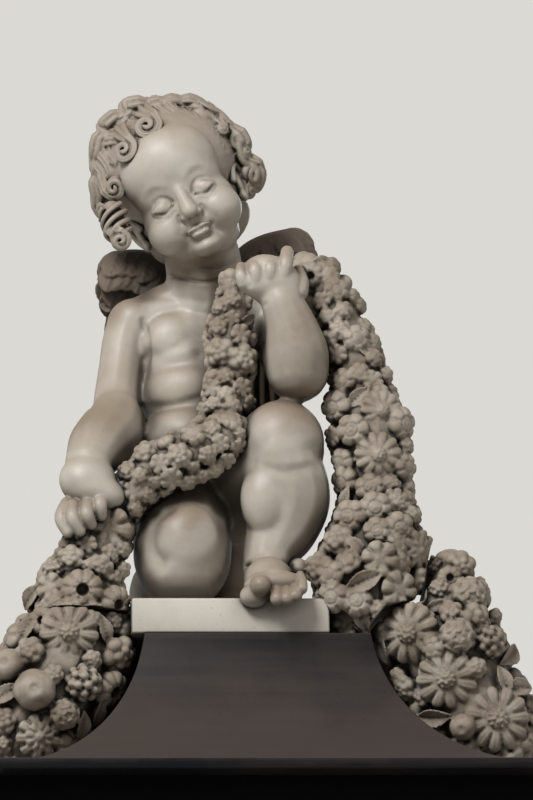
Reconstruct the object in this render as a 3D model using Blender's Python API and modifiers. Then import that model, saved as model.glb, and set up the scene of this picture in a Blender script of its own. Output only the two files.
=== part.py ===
"""Crowning group of a funerary monument: a kneeling winged child who holds a heavy flower garland,
on a marble slab and a black limestone cap with hollowed sides. Metres, +Z up, -Y is the front."""

import math
import random

import bmesh
import bpy
from mathutils import Euler, Matrix, Vector

# Black limestone: the recessed base, and the cap whose four sides are hollowed to an arc
BASE_HEIGHT = 0.060
BASE_SETBACK = 0.044
FILLET_HEIGHT = 0.014
CAP_TOP_WIDTH = 0.300
CAP_TOP_DEPTH = 0.280
CAP_FLARE = 0.257
CAP_TOP_LEAN = math.radians(8)
CAP_END_ANGLE = math.radians(89)
HOLLOW_SIDES = 96

# White marble slab under the figure
SLAB_WIDTH = 0.262
SLAB_DEPTH = 0.262
SLAB_HEIGHT = 0.048
SLAB_OFFSET = -0.035
SLAB_SETBACK = 0.004
SLAB_EDGE = 0.003

# Marble figure and garland
FIGURE_HEIGHT = 0.73
MASON_GAP = 0.0004
BLOCK_JOINT = 0.003
BODY_VOXEL = 0.0050
DETAIL_VOXEL = 0.0034
GARLAND_VOXEL = 0.0036
FIGURE_TRIANGLES = 6760
BLOCK_TRIANGLES = 1300

# Heights and places that follow from them
CAP_RADIUS = CAP_FLARE / math.cos(CAP_TOP_LEAN)
CAP_REACH = CAP_RADIUS * (math.cos(CAP_TOP_LEAN) - math.cos(CAP_END_ANGLE))
CAP_RISE = CAP_RADIUS * (math.sin(CAP_END_ANGLE) - math.sin(CAP_TOP_LEAN))
CAP_WIDTH = CAP_TOP_WIDTH + 2 * CAP_REACH
CAP_DEPTH = CAP_TOP_DEPTH + 2 * CAP_REACH
CAP_BOTTOM = BASE_HEIGHT + MASON_GAP
CAP_TOP = CAP_BOTTOM + FILLET_HEIGHT + CAP_RISE
SLAB_BOTTOM = CAP_TOP + MASON_GAP
SLAB_TOP = SLAB_BOTTOM + SLAB_HEIGHT
SLAB_FRONT = -CAP_TOP_DEPTH / 2 + SLAB_SETBACK
SLAB_CENTRE = Vector((SLAB_OFFSET, SLAB_FRONT + SLAB_DEPTH / 2, SLAB_BOTTOM + SLAB_HEIGHT / 2))

# The figure is laid out in 73rds of its own height, from the middle of the cap at the slab's top
UNIT = FIGURE_HEIGHT / 73
FIGURE_ORIGIN = Vector((0.0, 0.0, SLAB_TOP))

# Colours, roughness
MARBLE = ((0.60, 0.56, 0.49, 1.0), 0.55)
SLAB_MARBLE = ((0.72, 0.69, 0.63, 1.0), 0.50)
LIMESTONE = ((0.035, 0.035, 0.037, 1.0), 0.40)


def clear_scene():
    """Starts from an empty file."""
    for old in list(bpy.data.objects):
        bpy.data.objects.remove(old, do_unlink=True)


def collection(name):
    """A new collection in the scene."""
    made = bpy.data.collections.new(name)
    bpy.context.scene.collection.children.link(made)
    return made


def stone(name, colour, roughness):
    """A plain stone material."""
    material = bpy.data.materials.new(name)
    material.use_nodes = True
    shader = material.node_tree.nodes["Principled BSDF"]
    shader.inputs["Base Color"].default_value = colour
    shader.inputs["Roughness"].default_value = roughness
    return material


def finish(obj, name, home, material):
    """Names a piece, gives it its material and puts it in its collection."""
    obj.name = name
    obj.data.name = name
    obj.data.materials.clear()
    obj.data.materials.append(material)
    for group in list(obj.users_collection):
        group.objects.unlink(obj)
    home.objects.link(obj)
    return obj


def place(x, y, z):
    """A point of the figure, from 73rds of its height to metres."""
    return FIGURE_ORIGIN + UNIT * Vector((x, y, z))


def box(low, high):
    """A box between two corners, in metres."""
    low, high = Vector(low), Vector(high)
    bpy.ops.mesh.primitive_cube_add(size=1, location=(low + high) / 2)
    made = bpy.context.object
    made.scale = high - low
    bpy.ops.object.transform_apply(location=True, rotation=False, scale=True)
    return made


def cut_with(obj, cutter, home):
    """Cuts a helper away from a piece, and keeps the helper as a wire guide."""
    cutter.hide_render = True
    cutter.display_type = "WIRE"
    for group in list(cutter.users_collection):
        group.objects.unlink(cutter)
    home.objects.link(cutter)
    cut = obj.modifiers.new("cut " + cutter.name, "BOOLEAN")
    cut.operation = "DIFFERENCE"
    cut.object = cutter


def ball(centre, radii, turn=(0, 0, 0), segments=24):
    """An ellipsoid mass in figure units, turned by degrees about X, Y and Z."""
    bpy.ops.mesh.primitive_uv_sphere_add(
        segments=segments, ring_count=segments // 2, radius=1, location=place(*centre),
        rotation=[math.radians(a) for a in turn],
    )
    made = bpy.context.object
    made.scale = UNIT * Vector(radii)
    return made


def smooth_route(points, steps=6):
    """A smooth line of tuples through the given ones, by Catmull and Rom's rule."""
    padded = [points[0], *points, points[-1]]
    route = []
    for a, b, c, d in zip(padded, padded[1:], padded[2:], padded[3:]):
        for k in range(steps):
            t = k / steps
            route.append(tuple(
                0.5 * (2 * q + (r - p) * t + (2 * p - 5 * q + 4 * r - s) * t**2
                       + (3 * q - p - 3 * r + s) * t**3)
                for p, q, r, s in zip(a, b, c, d)
            ))
    route.append(tuple(points[-1]))
    return route


def limb(points, sides=4):
    """A round limb through points (x, y, z, radius) in figure units, with round ends."""
    route = smooth_route(points)
    curve = bpy.data.curves.new("limb", "CURVE")
    curve.dimensions = "3D"
    curve.bevel_depth = 1.0
    curve.bevel_resolution = sides
    curve.use_fill_caps = True
    spline = curve.splines.new("POLY")
    spline.points.add(len(route) - 1)
    for point, (x, y, z, radius) in zip(spline.points, route):
        point.co = (*place(x, y, z), 1)
        point.radius = radius * UNIT
    tube = bpy.data.objects.new("limb", curve)
    bpy.context.scene.collection.objects.link(tube)
    ends = [ball(p[:3], (p[3],) * 3, segments=16) for p in (points[0], points[-1])]
    return [as_mesh(tube), *ends]


def as_mesh(obj):
    """A curve object made a mesh in the same place."""
    graph = bpy.context.evaluated_depsgraph_get()
    mesh = bpy.data.meshes.new_from_object(obj.evaluated_get(graph))
    made = bpy.data.objects.new(obj.name, mesh)
    made.matrix_world = obj.matrix_world
    bpy.context.scene.collection.objects.link(made)
    bpy.data.objects.remove(obj, do_unlink=True)
    return made


def joined(shapes):
    """All the shapes as one mesh object, with its place in its mesh."""
    bpy.ops.object.select_all(action="DESELECT")
    for shape in shapes:
        shape.select_set(True)
    bpy.context.view_layer.objects.active = shapes[0]
    bpy.ops.object.join()
    bpy.ops.object.transform_apply(location=True, rotation=True, scale=True)
    return bpy.context.object


def fused(shapes, voxel, rounds):
    """One closed skin round all the shapes, softened by some rounds of smoothing."""
    skin = joined(shapes)
    remesh = skin.modifiers.new("skin", "REMESH")
    remesh.mode = "VOXEL"
    remesh.voxel_size = voxel
    remesh.use_smooth_shade = True
    soften = skin.modifiers.new("soften", "SMOOTH")
    soften.iterations = rounds
    soften.factor = 0.5
    for modifier in ("skin", "soften"):
        bpy.ops.object.modifier_apply(modifier=modifier)
    return skin


def thin_out(obj, triangles):
    """Brings a dense skin down to about so many triangles."""
    current = sum(len(face.vertices) - 2 for face in obj.data.polygons)
    fewer = obj.modifiers.new("fewer faces", "DECIMATE")
    fewer.ratio = min(1.0, triangles / current)
    fewer.use_collapse_triangulate = True
    bpy.context.view_layer.objects.active = obj
    bpy.ops.object.modifier_apply(modifier="fewer faces")
    round_off = obj.modifiers.new("round off", "SMOOTH")
    round_off.iterations = 2
    round_off.factor = 0.35
    bpy.ops.object.modifier_apply(modifier="round off")
    obj.data.shade_smooth()
    return obj


def hollow_sided_block(grow):
    """The cap: a block whose four sides are cut to an arc, with a low upright fillet below.
    grow swells it evenly, for the hollow that a neighbour needs."""
    half_width, half_depth = CAP_WIDTH / 2 + grow, CAP_DEPTH / 2 + grow
    block = box((-half_width, -half_depth, CAP_BOTTOM), (half_width, half_depth, CAP_TOP + grow))
    axis_height = CAP_TOP + CAP_RADIUS * math.sin(CAP_TOP_LEAN)
    sides = [
        ((CAP_TOP_WIDTH / 2 + CAP_FLARE, 0), (math.pi / 2, 0, 0), CAP_DEPTH),
        ((-CAP_TOP_WIDTH / 2 - CAP_FLARE, 0), (math.pi / 2, 0, 0), CAP_DEPTH),
        ((0, CAP_TOP_DEPTH / 2 + CAP_FLARE), (0, math.pi / 2, 0), CAP_WIDTH),
        ((0, -CAP_TOP_DEPTH / 2 - CAP_FLARE), (0, math.pi / 2, 0), CAP_WIDTH),
    ]
    cutters = []
    for (x, y), turn, length in sides:
        bpy.ops.mesh.primitive_cylinder_add(
            vertices=HOLLOW_SIDES, radius=CAP_RADIUS - grow, depth=length * 1.5,
            location=(x, y, axis_height), rotation=turn,
        )
        cutters.append(bpy.context.object)
    return block, cutters


def cap_and_base(home, guides, material):
    """The black cap with its fillet, and the recessed base under it."""
    cap, cutters = hollow_sided_block(0)
    finish(cap, "black_cap", home, material)
    for cutter in cutters:
        cutter.name = "cap_hollow"
        cut_with(cap, cutter, guides)
    half_width = CAP_WIDTH / 2 - BASE_SETBACK
    half_depth = CAP_DEPTH / 2 - BASE_SETBACK
    base = box((-half_width, -half_depth, 0), (half_width, half_depth, BASE_HEIGHT))
    finish(base, "black_base", home, material)


def slab(home, material):
    """The marble slab, with its edges just taken off."""
    half = Vector((SLAB_WIDTH, SLAB_DEPTH, SLAB_HEIGHT)) / 2
    made = box(SLAB_CENTRE - half, SLAB_CENTRE + half)
    edge = made.modifiers.new("eased edges", "BEVEL")
    edge.width = SLAB_EDGE
    edge.segments = 2
    finish(made, "marble_slab", home, material)


def torso():
    """Pelvis, two-fold belly, rib cage, breasts, shoulders and neck."""
    return [
        ball((-5.6, 5.0, 19.0), (8.4, 7.6, 7.4)),
        ball((-9.2, 8.0, 16.6), (5.4, 5.4, 6.2)),
        ball((-2.2, 8.0, 16.8), (5.4, 5.4, 6.2)),
        ball((-6.9, -0.2, 24.6), (7.5, 6.9, 5.4)),
        ball((-6.5, 0.7, 31.4), (7.2, 6.3, 6.2)),
        ball((-6.0, 2.0, 37.4), (7.9, 6.0, 6.6)),
        ball((-9.6, -1.0, 38.4), (4.2, 3.2, 3.4), (0, -8, 0)),
        ball((-2.4, -0.8, 39.0), (4.2, 3.2, 3.4), (0, 8, 0)),
        *limb([(-14.2, 2.0, 41.6, 3.6), (-9.5, 2.2, 43.4, 4.3), (-5.0, 2.2, 44.2, 4.6),
               (0.5, 2.4, 43.6, 4.3), (4.6, 1.6, 42.0, 3.8)]),
        *limb([(-4.9, 1.6, 44.5, 5.4), (-4.9, 0.4, 48.4, 5.3), (-5.4, -0.6, 51.4, 5.2)]),
    ]


def kneeling_leg():
    """The child's right leg: thigh forward, knee on the slab, shin folded under, foot behind."""
    return [
        *limb([(-8.8, 3.5, 17.5, 7.0), (-9.0, -2.0, 12.6, 6.8), (-9.0, -6.2, 8.6, 6.6)]),
        ball((-9.0, -6.6, 7.6), (6.5, 6.2, 7.8)),
        ball((-8.6, -10.2, 8.8), (4.4, 3.2, 5.2)),
        *limb([(-10.2, -4.0, 4.4, 4.6), (-11.2, 2.5, 4.5, 4.6), (-10.6, 8.0, 3.8, 3.2)]),
        ball((-10.0, 9.5, 3.2), (2.8, 3.0, 3.2)),
    ]


def standing_leg():
    """The child's left leg: knee high, shin upright, foot forward over the slab's edge."""
    return [
        *limb([(-1.6, 4.0, 18.0, 7.0), (1.6, -3.0, 20.4, 6.7), (3.8, -8.0, 21.6, 6.3)]),
        ball((4.2, -9.4, 22.2), (5.7, 5.5, 5.9)),
        *limb([(4.4, -9.4, 18.6, 5.5), (4.9, -8.2, 14.8, 5.8), (3.9, -8.0, 10.8, 5.0),
               (2.3, -8.8, 7.4, 3.7), (1.8, -9.3, 5.2, 3.3)]),
        *limb([(1.7, -8.6, 3.0, 3.1), (1.9, -11.6, 3.0, 3.3), (2.3, -14.0, 1.9, 2.4)]),
        ball((2.4, -13.4, 1.7), (4.1, 3.2, 2.0), (0, 0, -8)),
    ]


def support():
    """The rough stone left standing under the seat, which steadies the figure from behind."""
    return [
        *limb([(-1.2, 5.6, 0.6, 4.6), (-1.8, 6.4, 6.0, 4.2), (-2.6, 6.6, 13.0, 4.6)]),
        ball((-3.6, 5.2, 1.2), (6.2, 5.4, 2.6)),
    ]


def hanging_arm():
    """The child's right arm, down to the wrist over the garland."""
    return [
        *limb([(-14.6, 1.6, 41.6, 3.7), (-15.8, 1.2, 39.0, 3.2), (-16.5, 0.4, 35.0, 3.1),
               (-17.1, -0.6, 31.0, 3.2), (-17.3, -1.6, 29.0, 3.4)]),
        *limb([(-17.2, -2.2, 28.0, 3.5), (-18.4, -4.2, 25.4, 4.3), (-20.2, -6.8, 22.4, 4.2),
               (-21.7, -9.2, 19.4, 3.3)]),
        ball((-22.2, -11.0, 16.2), (3.7, 2.3, 3.6), (-15, 10, 0)),
    ]


def raised_arm():
    """The child's left arm, folded so that its forearm stands upright in front of the shoulder."""
    return [
        *limb([(4.8, 1.6, 41.6, 3.9), (5.8, -3.2, 37.0, 4.1), (6.4, -8.0, 33.4, 4.3)]),
        *limb([(6.4, -10.4, 32.0, 4.3), (6.2, -11.2, 34.6, 4.3), (5.4, -12.0, 38.0, 3.5),
               (4.3, -12.6, 40.8, 2.9)]),
        ball((2.8, -12.8, 43.6), (4.2, 2.1, 3.2), (10, 30, 0)),
    ]


def right_fingers():
    """The fingers that lie down on the garland, and the thumb behind it."""
    return [
        *limb([(-24.7, -10.4, 14.2, 1.1), (-25.1, -11.6, 12.2, 1.0), (-24.1, -12.0, 9.8, 0.85)]),
        *limb([(-23.6, -11.6, 14.6, 1.15), (-23.6, -12.8, 12.0, 1.0), (-22.9, -12.9, 9.2, 0.85)]),
        *limb([(-22.1, -12.0, 14.4, 1.15), (-21.8, -13.0, 12.2, 1.0), (-21.7, -13.0, 10.0, 0.85)]),
        *limb([(-20.4, -12.2, 15.0, 1.1), (-20.1, -13.2, 13.0, 1.0), (-20.0, -13.0, 11.0, 0.9)]),
        *limb([(-19.4, -10.0, 16.2, 1.2), (-18.4, -10.6, 14.0, 1.1), (-18.2, -10.6, 12.4, 1.0)]),
    ]


def left_fingers():
    """The fingers that curl back over the garland on the shoulder."""
    return [
        *limb([(0.0, -13.2, 43.4, 1.0), (-0.9, -13.2, 45.4, 0.85), (-1.1, -12.2, 46.8, 0.75)]),
        *limb([(1.3, -14.0, 44.6, 1.1), (0.9, -13.9, 46.4, 1.0), (0.8, -12.6, 47.3, 0.85)]),
        *limb([(3.0, -14.1, 45.2, 1.1), (2.9, -13.9, 46.9, 1.0), (2.8, -12.6, 47.8, 0.85)]),
        *limb([(5.0, -13.8, 45.2, 1.15), (4.9, -13.7, 47.4, 1.0), (4.7, -12.6, 48.8, 0.85)]),
        *limb([(6.3, -12.6, 42.2, 1.4), (6.8, -11.8, 43.8, 1.2), (6.6, -10.6, 45.0, 1.0)]),
    ]


def toes(ankle_side, big_toe, step, sizes):
    """A row of toes: the big toe first, then the others at even steps."""
    row = []
    for k, size in enumerate(sizes):
        tip = [b + s * k for b, s in zip(big_toe, step)]
        root = [t + a for t, a in zip(tip, ankle_side)]
        row += limb([(*root, size * 0.9), (*tip, size)])
    return row


def feet():
    """Toes of both feet."""
    front = limb([(0.6, -14.0, 1.6, 1.7), (0.2, -16.6, 1.0, 1.55)])
    front += toes((-0.3, 2.6, 1.2), (2.3, -17.0, -0.2), (1.1, 0.4, 0.42), (1.0, 0.95, 0.9, 0.85))
    back = toes((0.2, -2.4, 1.0), (-8.2, 11.4, 1.2), (-1.1, -0.2, 0.0), (1.2, 0.9, 0.85, 0.8, 0.75))
    return front + back


# The head is laid out in the same units, from the middle of the skull, and then tilted
HEAD_MIDDLE = Vector((-8.4, -2.8, 59.4))
HEAD_TILT = Euler((math.radians(13), math.radians(-26), math.radians(-7)), "YXZ")


def on_head(x, y, z):
    """A point of the upright head, carried to the tilted head."""
    return tuple(HEAD_MIDDLE + HEAD_TILT.to_matrix() @ Vector((x, y, z)))


def head_ball(centre, radii, turn=(0, 0, 0)):
    """An ellipsoid mass of the head."""
    made = ball(on_head(*centre), radii)
    own = Euler([math.radians(a) for a in turn]).to_matrix()
    made.rotation_euler = (HEAD_TILT.to_matrix() @ own).to_euler()
    return made


def head_limb(points):
    """A round ridge or tube on the head."""
    return limb([(*on_head(*p[:3]), p[3]) for p in points])


def head_masses():
    """Skull, brow, cheeks, jaw and a full chin, on an infant's usual proportions."""
    cheeks = [head_ball((s * 3.5, -4.6, -4.9), (3.1, 3.5, 3.3)) for s in (-1, 1)]
    return cheeks + [
        head_ball((0, 1.4, 3.0), (7.8, 8.8, 7.6)),
        head_ball((0, -3.0, 3.0), (6.6, 5.3, 6.2)),
        head_ball((0, -2.4, -3.6), (6.5, 6.0, 6.3)),
        head_ball((0, -6.0, -8.5), (2.3, 2.2, 1.8)),
        head_ball((0, -2.6, -8.0), (4.8, 4.4, 2.9)),
    ]


def face_relief():
    """Small nose, closed lids and soft lips of a generic calm infant's face."""
    lids = [head_ball((s * 3.0, -7.3, -1.7), (1.6, 1.1, 1.1)) for s in (-1, 1)]
    nostrils = [head_ball((s * 0.9, -8.6, -4.1), (0.75, 0.8, 0.65)) for s in (-1, 1)]
    return lids + nostrils + [
        *head_limb([(0, -7.9, -0.8, 0.7), (0, -8.6, -2.3, 0.8), (0, -9.4, -3.7, 1.05)]),
        head_ball((0, -8.5, -6.3), (1.55, 0.9, 0.5)),
        head_ball((0, -8.3, -7.1), (1.25, 0.9, 0.55)),
    ]


# Curls that frame the face: degrees round the head from its left ear (-90 is the brow), degrees up
FRAMING_CURLS = ((-88, 38), (-118, 24), (-147, 4), (-170, -20), (-48, 32), (-22, 20), (2, 6), (10, -12))
# Rings of curls over the rest of the head: degrees up, number in the ring, first and last place
CURL_RINGS = ((86, 1, 0, 0), (62, 6, -150, 150), (40, 7, -12, 192), (16, 8, -4, 184), (-8, 7, 14, 166),
              (-30, 6, 14, 166))
CURL_SIZE = 2.1


def hair():
    """A full cap of hair, snail curls all over it, and a lock that hangs on each side."""
    locks = [head_ball((0, 2.6, 3.2), (9.7, 9.3, 8.4)), head_ball((0, 4.2, -1.8), (8.9, 7.0, 6.2)),
             head_ball((0, 4.6, -5.6), (7.6, 5.0, 4.6))]
    for round_head, height in FRAMING_CURLS:
        locks += head_curl(round_head, height, CURL_SIZE)
    for height, count, first, last in CURL_RINGS:
        for k in range(count):
            locks += head_curl(first + (last - first) * k / max(1, count - 1), height, CURL_SIZE)
    locks += head_limb([(-9.0, 0.0, -0.6, 1.8), (-9.8, -0.4, -3.0, 2.0), (-9.6, -0.6, -5.4, 1.5)])
    locks += head_limb([(9.0, 1.0, -0.4, 1.8), (9.8, 0.4, -3.0, 2.0), (9.4, 0.2, -5.2, 1.5)])
    return locks


def head_curl(round_head, height, size):
    """A snail curl on the hair, at angles in degrees round the head and above its middle."""
    a, e = math.radians(round_head), math.radians(height)
    out = Vector((math.cos(a) * math.cos(e), math.sin(a) * math.cos(e), math.sin(e)))
    middle = Vector((0, 2.4, 3.0)) + Vector((out.x * 9.7, out.y * 9.3, out.z * 8.3))
    return [head_ball(middle, (size,) * 3), head_ball(middle + out * size * 0.75, (size * 0.5,) * 3)]


def wing(side, root, wrist, tip):
    """A folded wing: a round shoulder and three overlapping rows of feathers that hang from it."""
    root, wrist, tip = Vector(root), Vector(wrist), Vector(tip)
    made = limb([(*root, 2.6), (*((root + wrist) / 2 + Vector((0, 1.2, 2.4))), 3.0), (*wrist, 3.0)])
    rows = ((0.95, 1.5, 7), (0.68, 1.35, 6), (0.42, 1.3, 5))
    for layer, (reach, width, count) in enumerate(rows):
        for k in range(count):
            t = k / (count - 1)
            start = wrist.lerp(root, t * 0.9) + Vector((0, 0.6 - 0.5 * layer, 0))
            down = (tip - wrist).lerp((tip - wrist) * 0.62 + Vector((side * -1.0, 0, 0)), t)
            end = start + down * reach
            middle = start.lerp(end, 0.5)
            feather = ball(middle, (width, 1.05, (end - start).length / 2 + 0.6))
            feather.rotation_euler = (start - end).to_track_quat("Z", "Y").to_euler()
            made.append(feather)
    return made


def petal_wave(angle, petals):
    """1 along a petal's middle and 0 in the notch between two petals."""
    return abs(math.cos(petals * angle / 2))


def blossom_point(kind, radius, angle):
    """Height of a flower's face, and how far its outline draws in, at one point of its unit disc."""
    petals, notch, eye, eye_lift, dome = BLOSSOMS[kind]
    wave = petal_wave(angle, petals)
    draw_in = 1 - notch * (1 - wave) ** 1.5 * radius
    if radius < eye:
        return eye_lift * math.sqrt(1 - (radius / eye) ** 2) + 0.55 * dome, draw_in
    out = (radius - eye) / (1 - eye)
    return dome * (1 - out**2) + 0.20 * wave * math.sin(math.pi * min(1.0, out * 1.05)), draw_in


# Petals, depth of the notches, size of the eye, how far the eye stands up, doming of the petals
BLOSSOMS = {
    "daisy": (12, 0.20, 0.38, 0.26, 0.16),
    "ring": (10, 0.14, 0.34, -0.50, 0.30),
    "rose": (5, 0.22, 0.30, 0.10, 0.62),
    "star": (8, 0.34, 0.36, 0.22, 0.14),
    "bud": (6, 0.08, 0.20, 0.10, 1.25),
    "fruit": (1, 0.00, 0.16, -0.10, 1.05),
}


def blossom(kind, centre, facing, size, spin=0.0):
    """A flower or fruit of one kind in figure units, its face turned outwards."""
    bpy.ops.mesh.primitive_uv_sphere_add(segments=24, ring_count=12, radius=1)
    made = bpy.context.object
    for vertex in made.data.vertices:
        x, y, z = vertex.co
        radius, angle = min(1.0, math.hypot(x, y)), math.atan2(y, x)
        height, draw_in = blossom_point(kind, radius, angle)
        vertex.co = (x * draw_in, y * draw_in, height if z >= 0 else 0.8 * z)
    facing = Vector(facing).normalized()
    turned = facing.to_track_quat("Z", "Y") @ Euler((0, 0, spin)).to_quaternion()
    made.matrix_world = (
        Matrix.Translation(place(*centre)) @ turned.to_matrix().to_4x4() @ Matrix.Scale(size * UNIT, 4)
    )
    return made


def strand(points, features, fill_size, seed, kinds):
    """One stretch of garland: a core along points (x, y, z, radius), the large flowers given as
    (kind, x, z, size), and smaller flowers that fill the rest in rings round the core."""
    chance = random.Random(seed)
    core = [(x, y, z, r * 0.72) for x, y, z, r in points]
    made = limb(core)
    route = smooth_route(points, 8)
    taken = []
    for kind, x, z, size in features:
        near = min(route, key=lambda p: (p[0] - x) ** 2 + (p[2] - z) ** 2)
        sideways = Vector((x - near[0], 0, z - near[2]))
        depth = math.sqrt(max(0.15, 1 - (sideways.length / near[3]) ** 2)) * near[3]
        centre = Vector((x, near[1] - depth * 0.82, z))
        made.append(blossom(kind, centre, sideways + Vector((0, -depth * 1.5, 0)), size, chance.random()))
        taken.append((centre, size))
    travelled, last, ring = 0.0, Vector(route[0][:3]), 0
    for before, here in zip(route, route[1:]):
        at, radius = Vector(here[:3]), here[3]
        travelled += (at - last).length
        last = at
        step = fill_size * radius
        if travelled < 1.5 * step:
            continue
        travelled, ring = 0.0, ring + 1
        along = (at - Vector(before[:3])).normalized()
        side = along.cross(Vector((0, 1, 0))).normalized()
        front = side.cross(along)
        count = max(4, round(math.tau * 0.9 / (1.75 * fill_size)))
        for k in range(count):
            angle = math.tau * (k + 0.5 * (ring % 2)) / count
            out = side * math.cos(angle) + front * math.sin(angle)
            size = step * chance.uniform(0.85, 1.12)
            centre = at + out * radius * 0.86
            kind, spin = chance.choice(kinds), chance.uniform(0, 6)
            if all((centre - c).length > 0.75 * s + 0.6 * size for c, s in taken):
                made.append(blossom(kind, centre, out, size, spin))
    return made


# Size of the small flowers that fill each stretch, as a share of its radius
CHEST_FILL = 0.44
LAP_FILL = 0.42
HELD_FILL = 0.40
FALLING_FILL = 0.38
SWAG_FILL = 0.36

# Kinds of flower that fill a stretch, by how often they come
SMALL = ("rose", "rose", "bud", "rose", "star")
LARGE = ("rose", "daisy", "ring", "bud", "fruit", "rose")

CHEST = [(-2.2, -8.4, 45.6, 1.5), (-1.8, -7.8, 43.6, 2.0), (-2.0, -7.4, 40.6, 2.7), (-2.4, -7.4, 37.0, 3.5),
         (-2.2, -7.4, 33.6, 3.1), (-2.8, -7.8, 30.2, 3.3), (-3.2, -8.8, 27.0, 3.1)]
LAP = [(-2.0, -10.0, 23.6, 3.0), (-4.8, -10.4, 22.4, 3.5), (-8.2, -10.6, 20.6, 3.5), (-11.8, -10.4, 18.8, 3.6),
       (-15.0, -9.4, 16.6, 3.4), (-17.2, -8.8, 13.8, 3.0)]
HELD = [(-18.4, -8.6, 11.6, 3.0), (-20.9, -8.8, 7.4, 4.4), (-23.0, -8.8, 2.6, 6.0), (-23.6, -8.8, -2.0, 6.8)]
FALLING = [(8.4, -8.8, 47.2, 2.0), (10.8, -8.2, 44.0, 2.9), (12.7, -7.8, 38.5, 3.7), (15.0, -7.8, 31.6, 4.0),
           (16.0, -7.8, 23.6, 5.3), (16.9, -8.0, 16.4, 4.8), (16.6, -8.2, 10.5, 6.6), (16.2, -8.4, 7.0, 7.2),
           (14.9, -8.6, 3.4, 7.6), (14.6, -8.6, -0.6, 6.2), (13.2, -8.4, -4.6, 3.0)]

# Both swags and their backing: X is counted from the side edge of the cap's top
LEFT_BLOCK = [(-8.8, -8.4, -1.0, 7.0), (-9.8, -8.2, -5.4, 8.2), (-12.2, -8.0, -11.0, 8.8),
              (-16.0, -7.8, -16.6, 7.4), (-19.6, -7.6, -20.0, 4.6)]
RIGHT_BLOCK = [(11.6, -7.6, 5.6, 3.2), (11.4, -7.8, 1.4, 5.4), (10.6, -8.2, -4.2, 8.2),
               (12.7, -8.2, -10.8, 8.0), (16.0, -8.0, -16.4, 7.4), (19.6, -7.8, -20.0, 4.6)]

# Plain stone behind each swag, which leans on the flank of the cap
LEFT_BACKING = [(-4.0, -3.0, -5.0, 4.2), (-6.4, -2.0, -10.0, 6.6), (-11.0, -2.0, -15.0, 6.8),
                (-16.5, -2.4, -19.0, 5.0)]
RIGHT_BACKING = [(5.0, -3.0, -5.5, 3.6), (7.0, -2.0, -10.0, 6.4), (11.4, -2.0, -15.0, 6.8),
                 (16.5, -2.4, -19.0, 5.0)]

LAP_FLOWERS = [("bud", -6.9, 25.4, 1.7), ("rose", -8.9, 22.6, 1.6), ("rose", -13.2, 23.0, 1.6),
               ("rose", -4.4, 24.6, 1.3), ("rose", -5.6, 22.6, 1.4), ("rose", -15.8, 19.6, 1.5)]
HELD_FLOWERS = [("rose", -19.3, 12.0, 2.2), ("ring", -23.2, 1.8, 2.6), ("ring", -18.6, -0.6, 2.3),
                ("rose", -21.0, 6.0, 1.9), ("bud", -25.6, 6.4, 1.9), ("daisy", -29.0, 2.0, 2.3)]
FALLING_FLOWERS = [("rose", 8.0, 45.0, 1.5), ("rose", 11.0, 42.6, 1.5), ("rose", 9.0, 41.4, 1.2),
                   ("rose", 12.4, 33.8, 1.6), ("daisy", 16.9, 26.6, 2.2), ("daisy", 16.4, 20.2, 2.6),
                   ("rose", 11.8, 26.2, 1.8), ("bud", 19.6, 24.2, 1.9), ("daisy", 21.2, 8.6, 2.5),
                   ("rose", 13.2, 11.6, 2.1), ("rose", 19.0, 12.0, 1.9), ("daisy", 16.4, 6.4, 2.1),
                   ("rose", 9.6, 5.2, 2.4), ("rose", 10.8, 1.4, 1.7), ("rose", 13.6, 1.0, 1.6),
                   ("rose", 18.4, 1.4, 2.4), ("rose", 21.4, 3.4, 2.0), ("rose", 14.2, 4.6, 1.8),
                   ("bud", 20.2, 0.4, 2.4)]
LEFT_FLOWERS = [("daisy", -9.6, -4.0, 3.4), ("ring", -13.4, -2.6, 2.4), ("daisy", -2.6, -7.2, 2.7),
                ("ring", -3.6, -11.4, 2.4), ("fruit", -13.6, -11.6, 2.5), ("rose", -7.4, -12.0, 2.5),
                ("fruit", -9.6, -15.2, 2.4), ("star", -13.4, -18.0, 2.7), ("bud", -17.4, -9.8, 2.6)]
RIGHT_FLOWERS = [("daisy", 5.6, -4.4, 3.7), ("star", 10.4, -10.8, 3.7), ("daisy", 17.6, -15.8, 3.9),
                 ("bud", 12.6, 0.2, 2.7), ("bud", 11.6, 4.0, 2.2), ("bud", 11.8, -5.2, 2.6),
                 ("rose", 15.6, -5.4, 2.1), ("rose", 4.8, -11.6, 1.9), ("bud", 8.4, -16.6, 2.2)]


# Joints between the upper garland and each swag: lines of (x, z) from the cap outwards
LEFT_JOINT = [(-16.5, -1.6), (-50.0, -1.6)]
RIGHT_JOINT = [(14.6, -5.6), (15.3, -3.4), (17.2, -1.2), (22.2, -0.2), (23.6, 7.0), (26.0, 14.0)]


def upper_garland():
    """Every stretch of garland that is one with the figure."""
    return (
        strand(CHEST, [], CHEST_FILL, 3, SMALL)
        + strand(LAP, LAP_FLOWERS, LAP_FILL, 5, SMALL)
        + strand(HELD, HELD_FLOWERS, HELD_FILL, 7, LARGE)
        + strand(FALLING, FALLING_FLOWERS, FALLING_FILL, 11, SMALL)
    )


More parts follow.
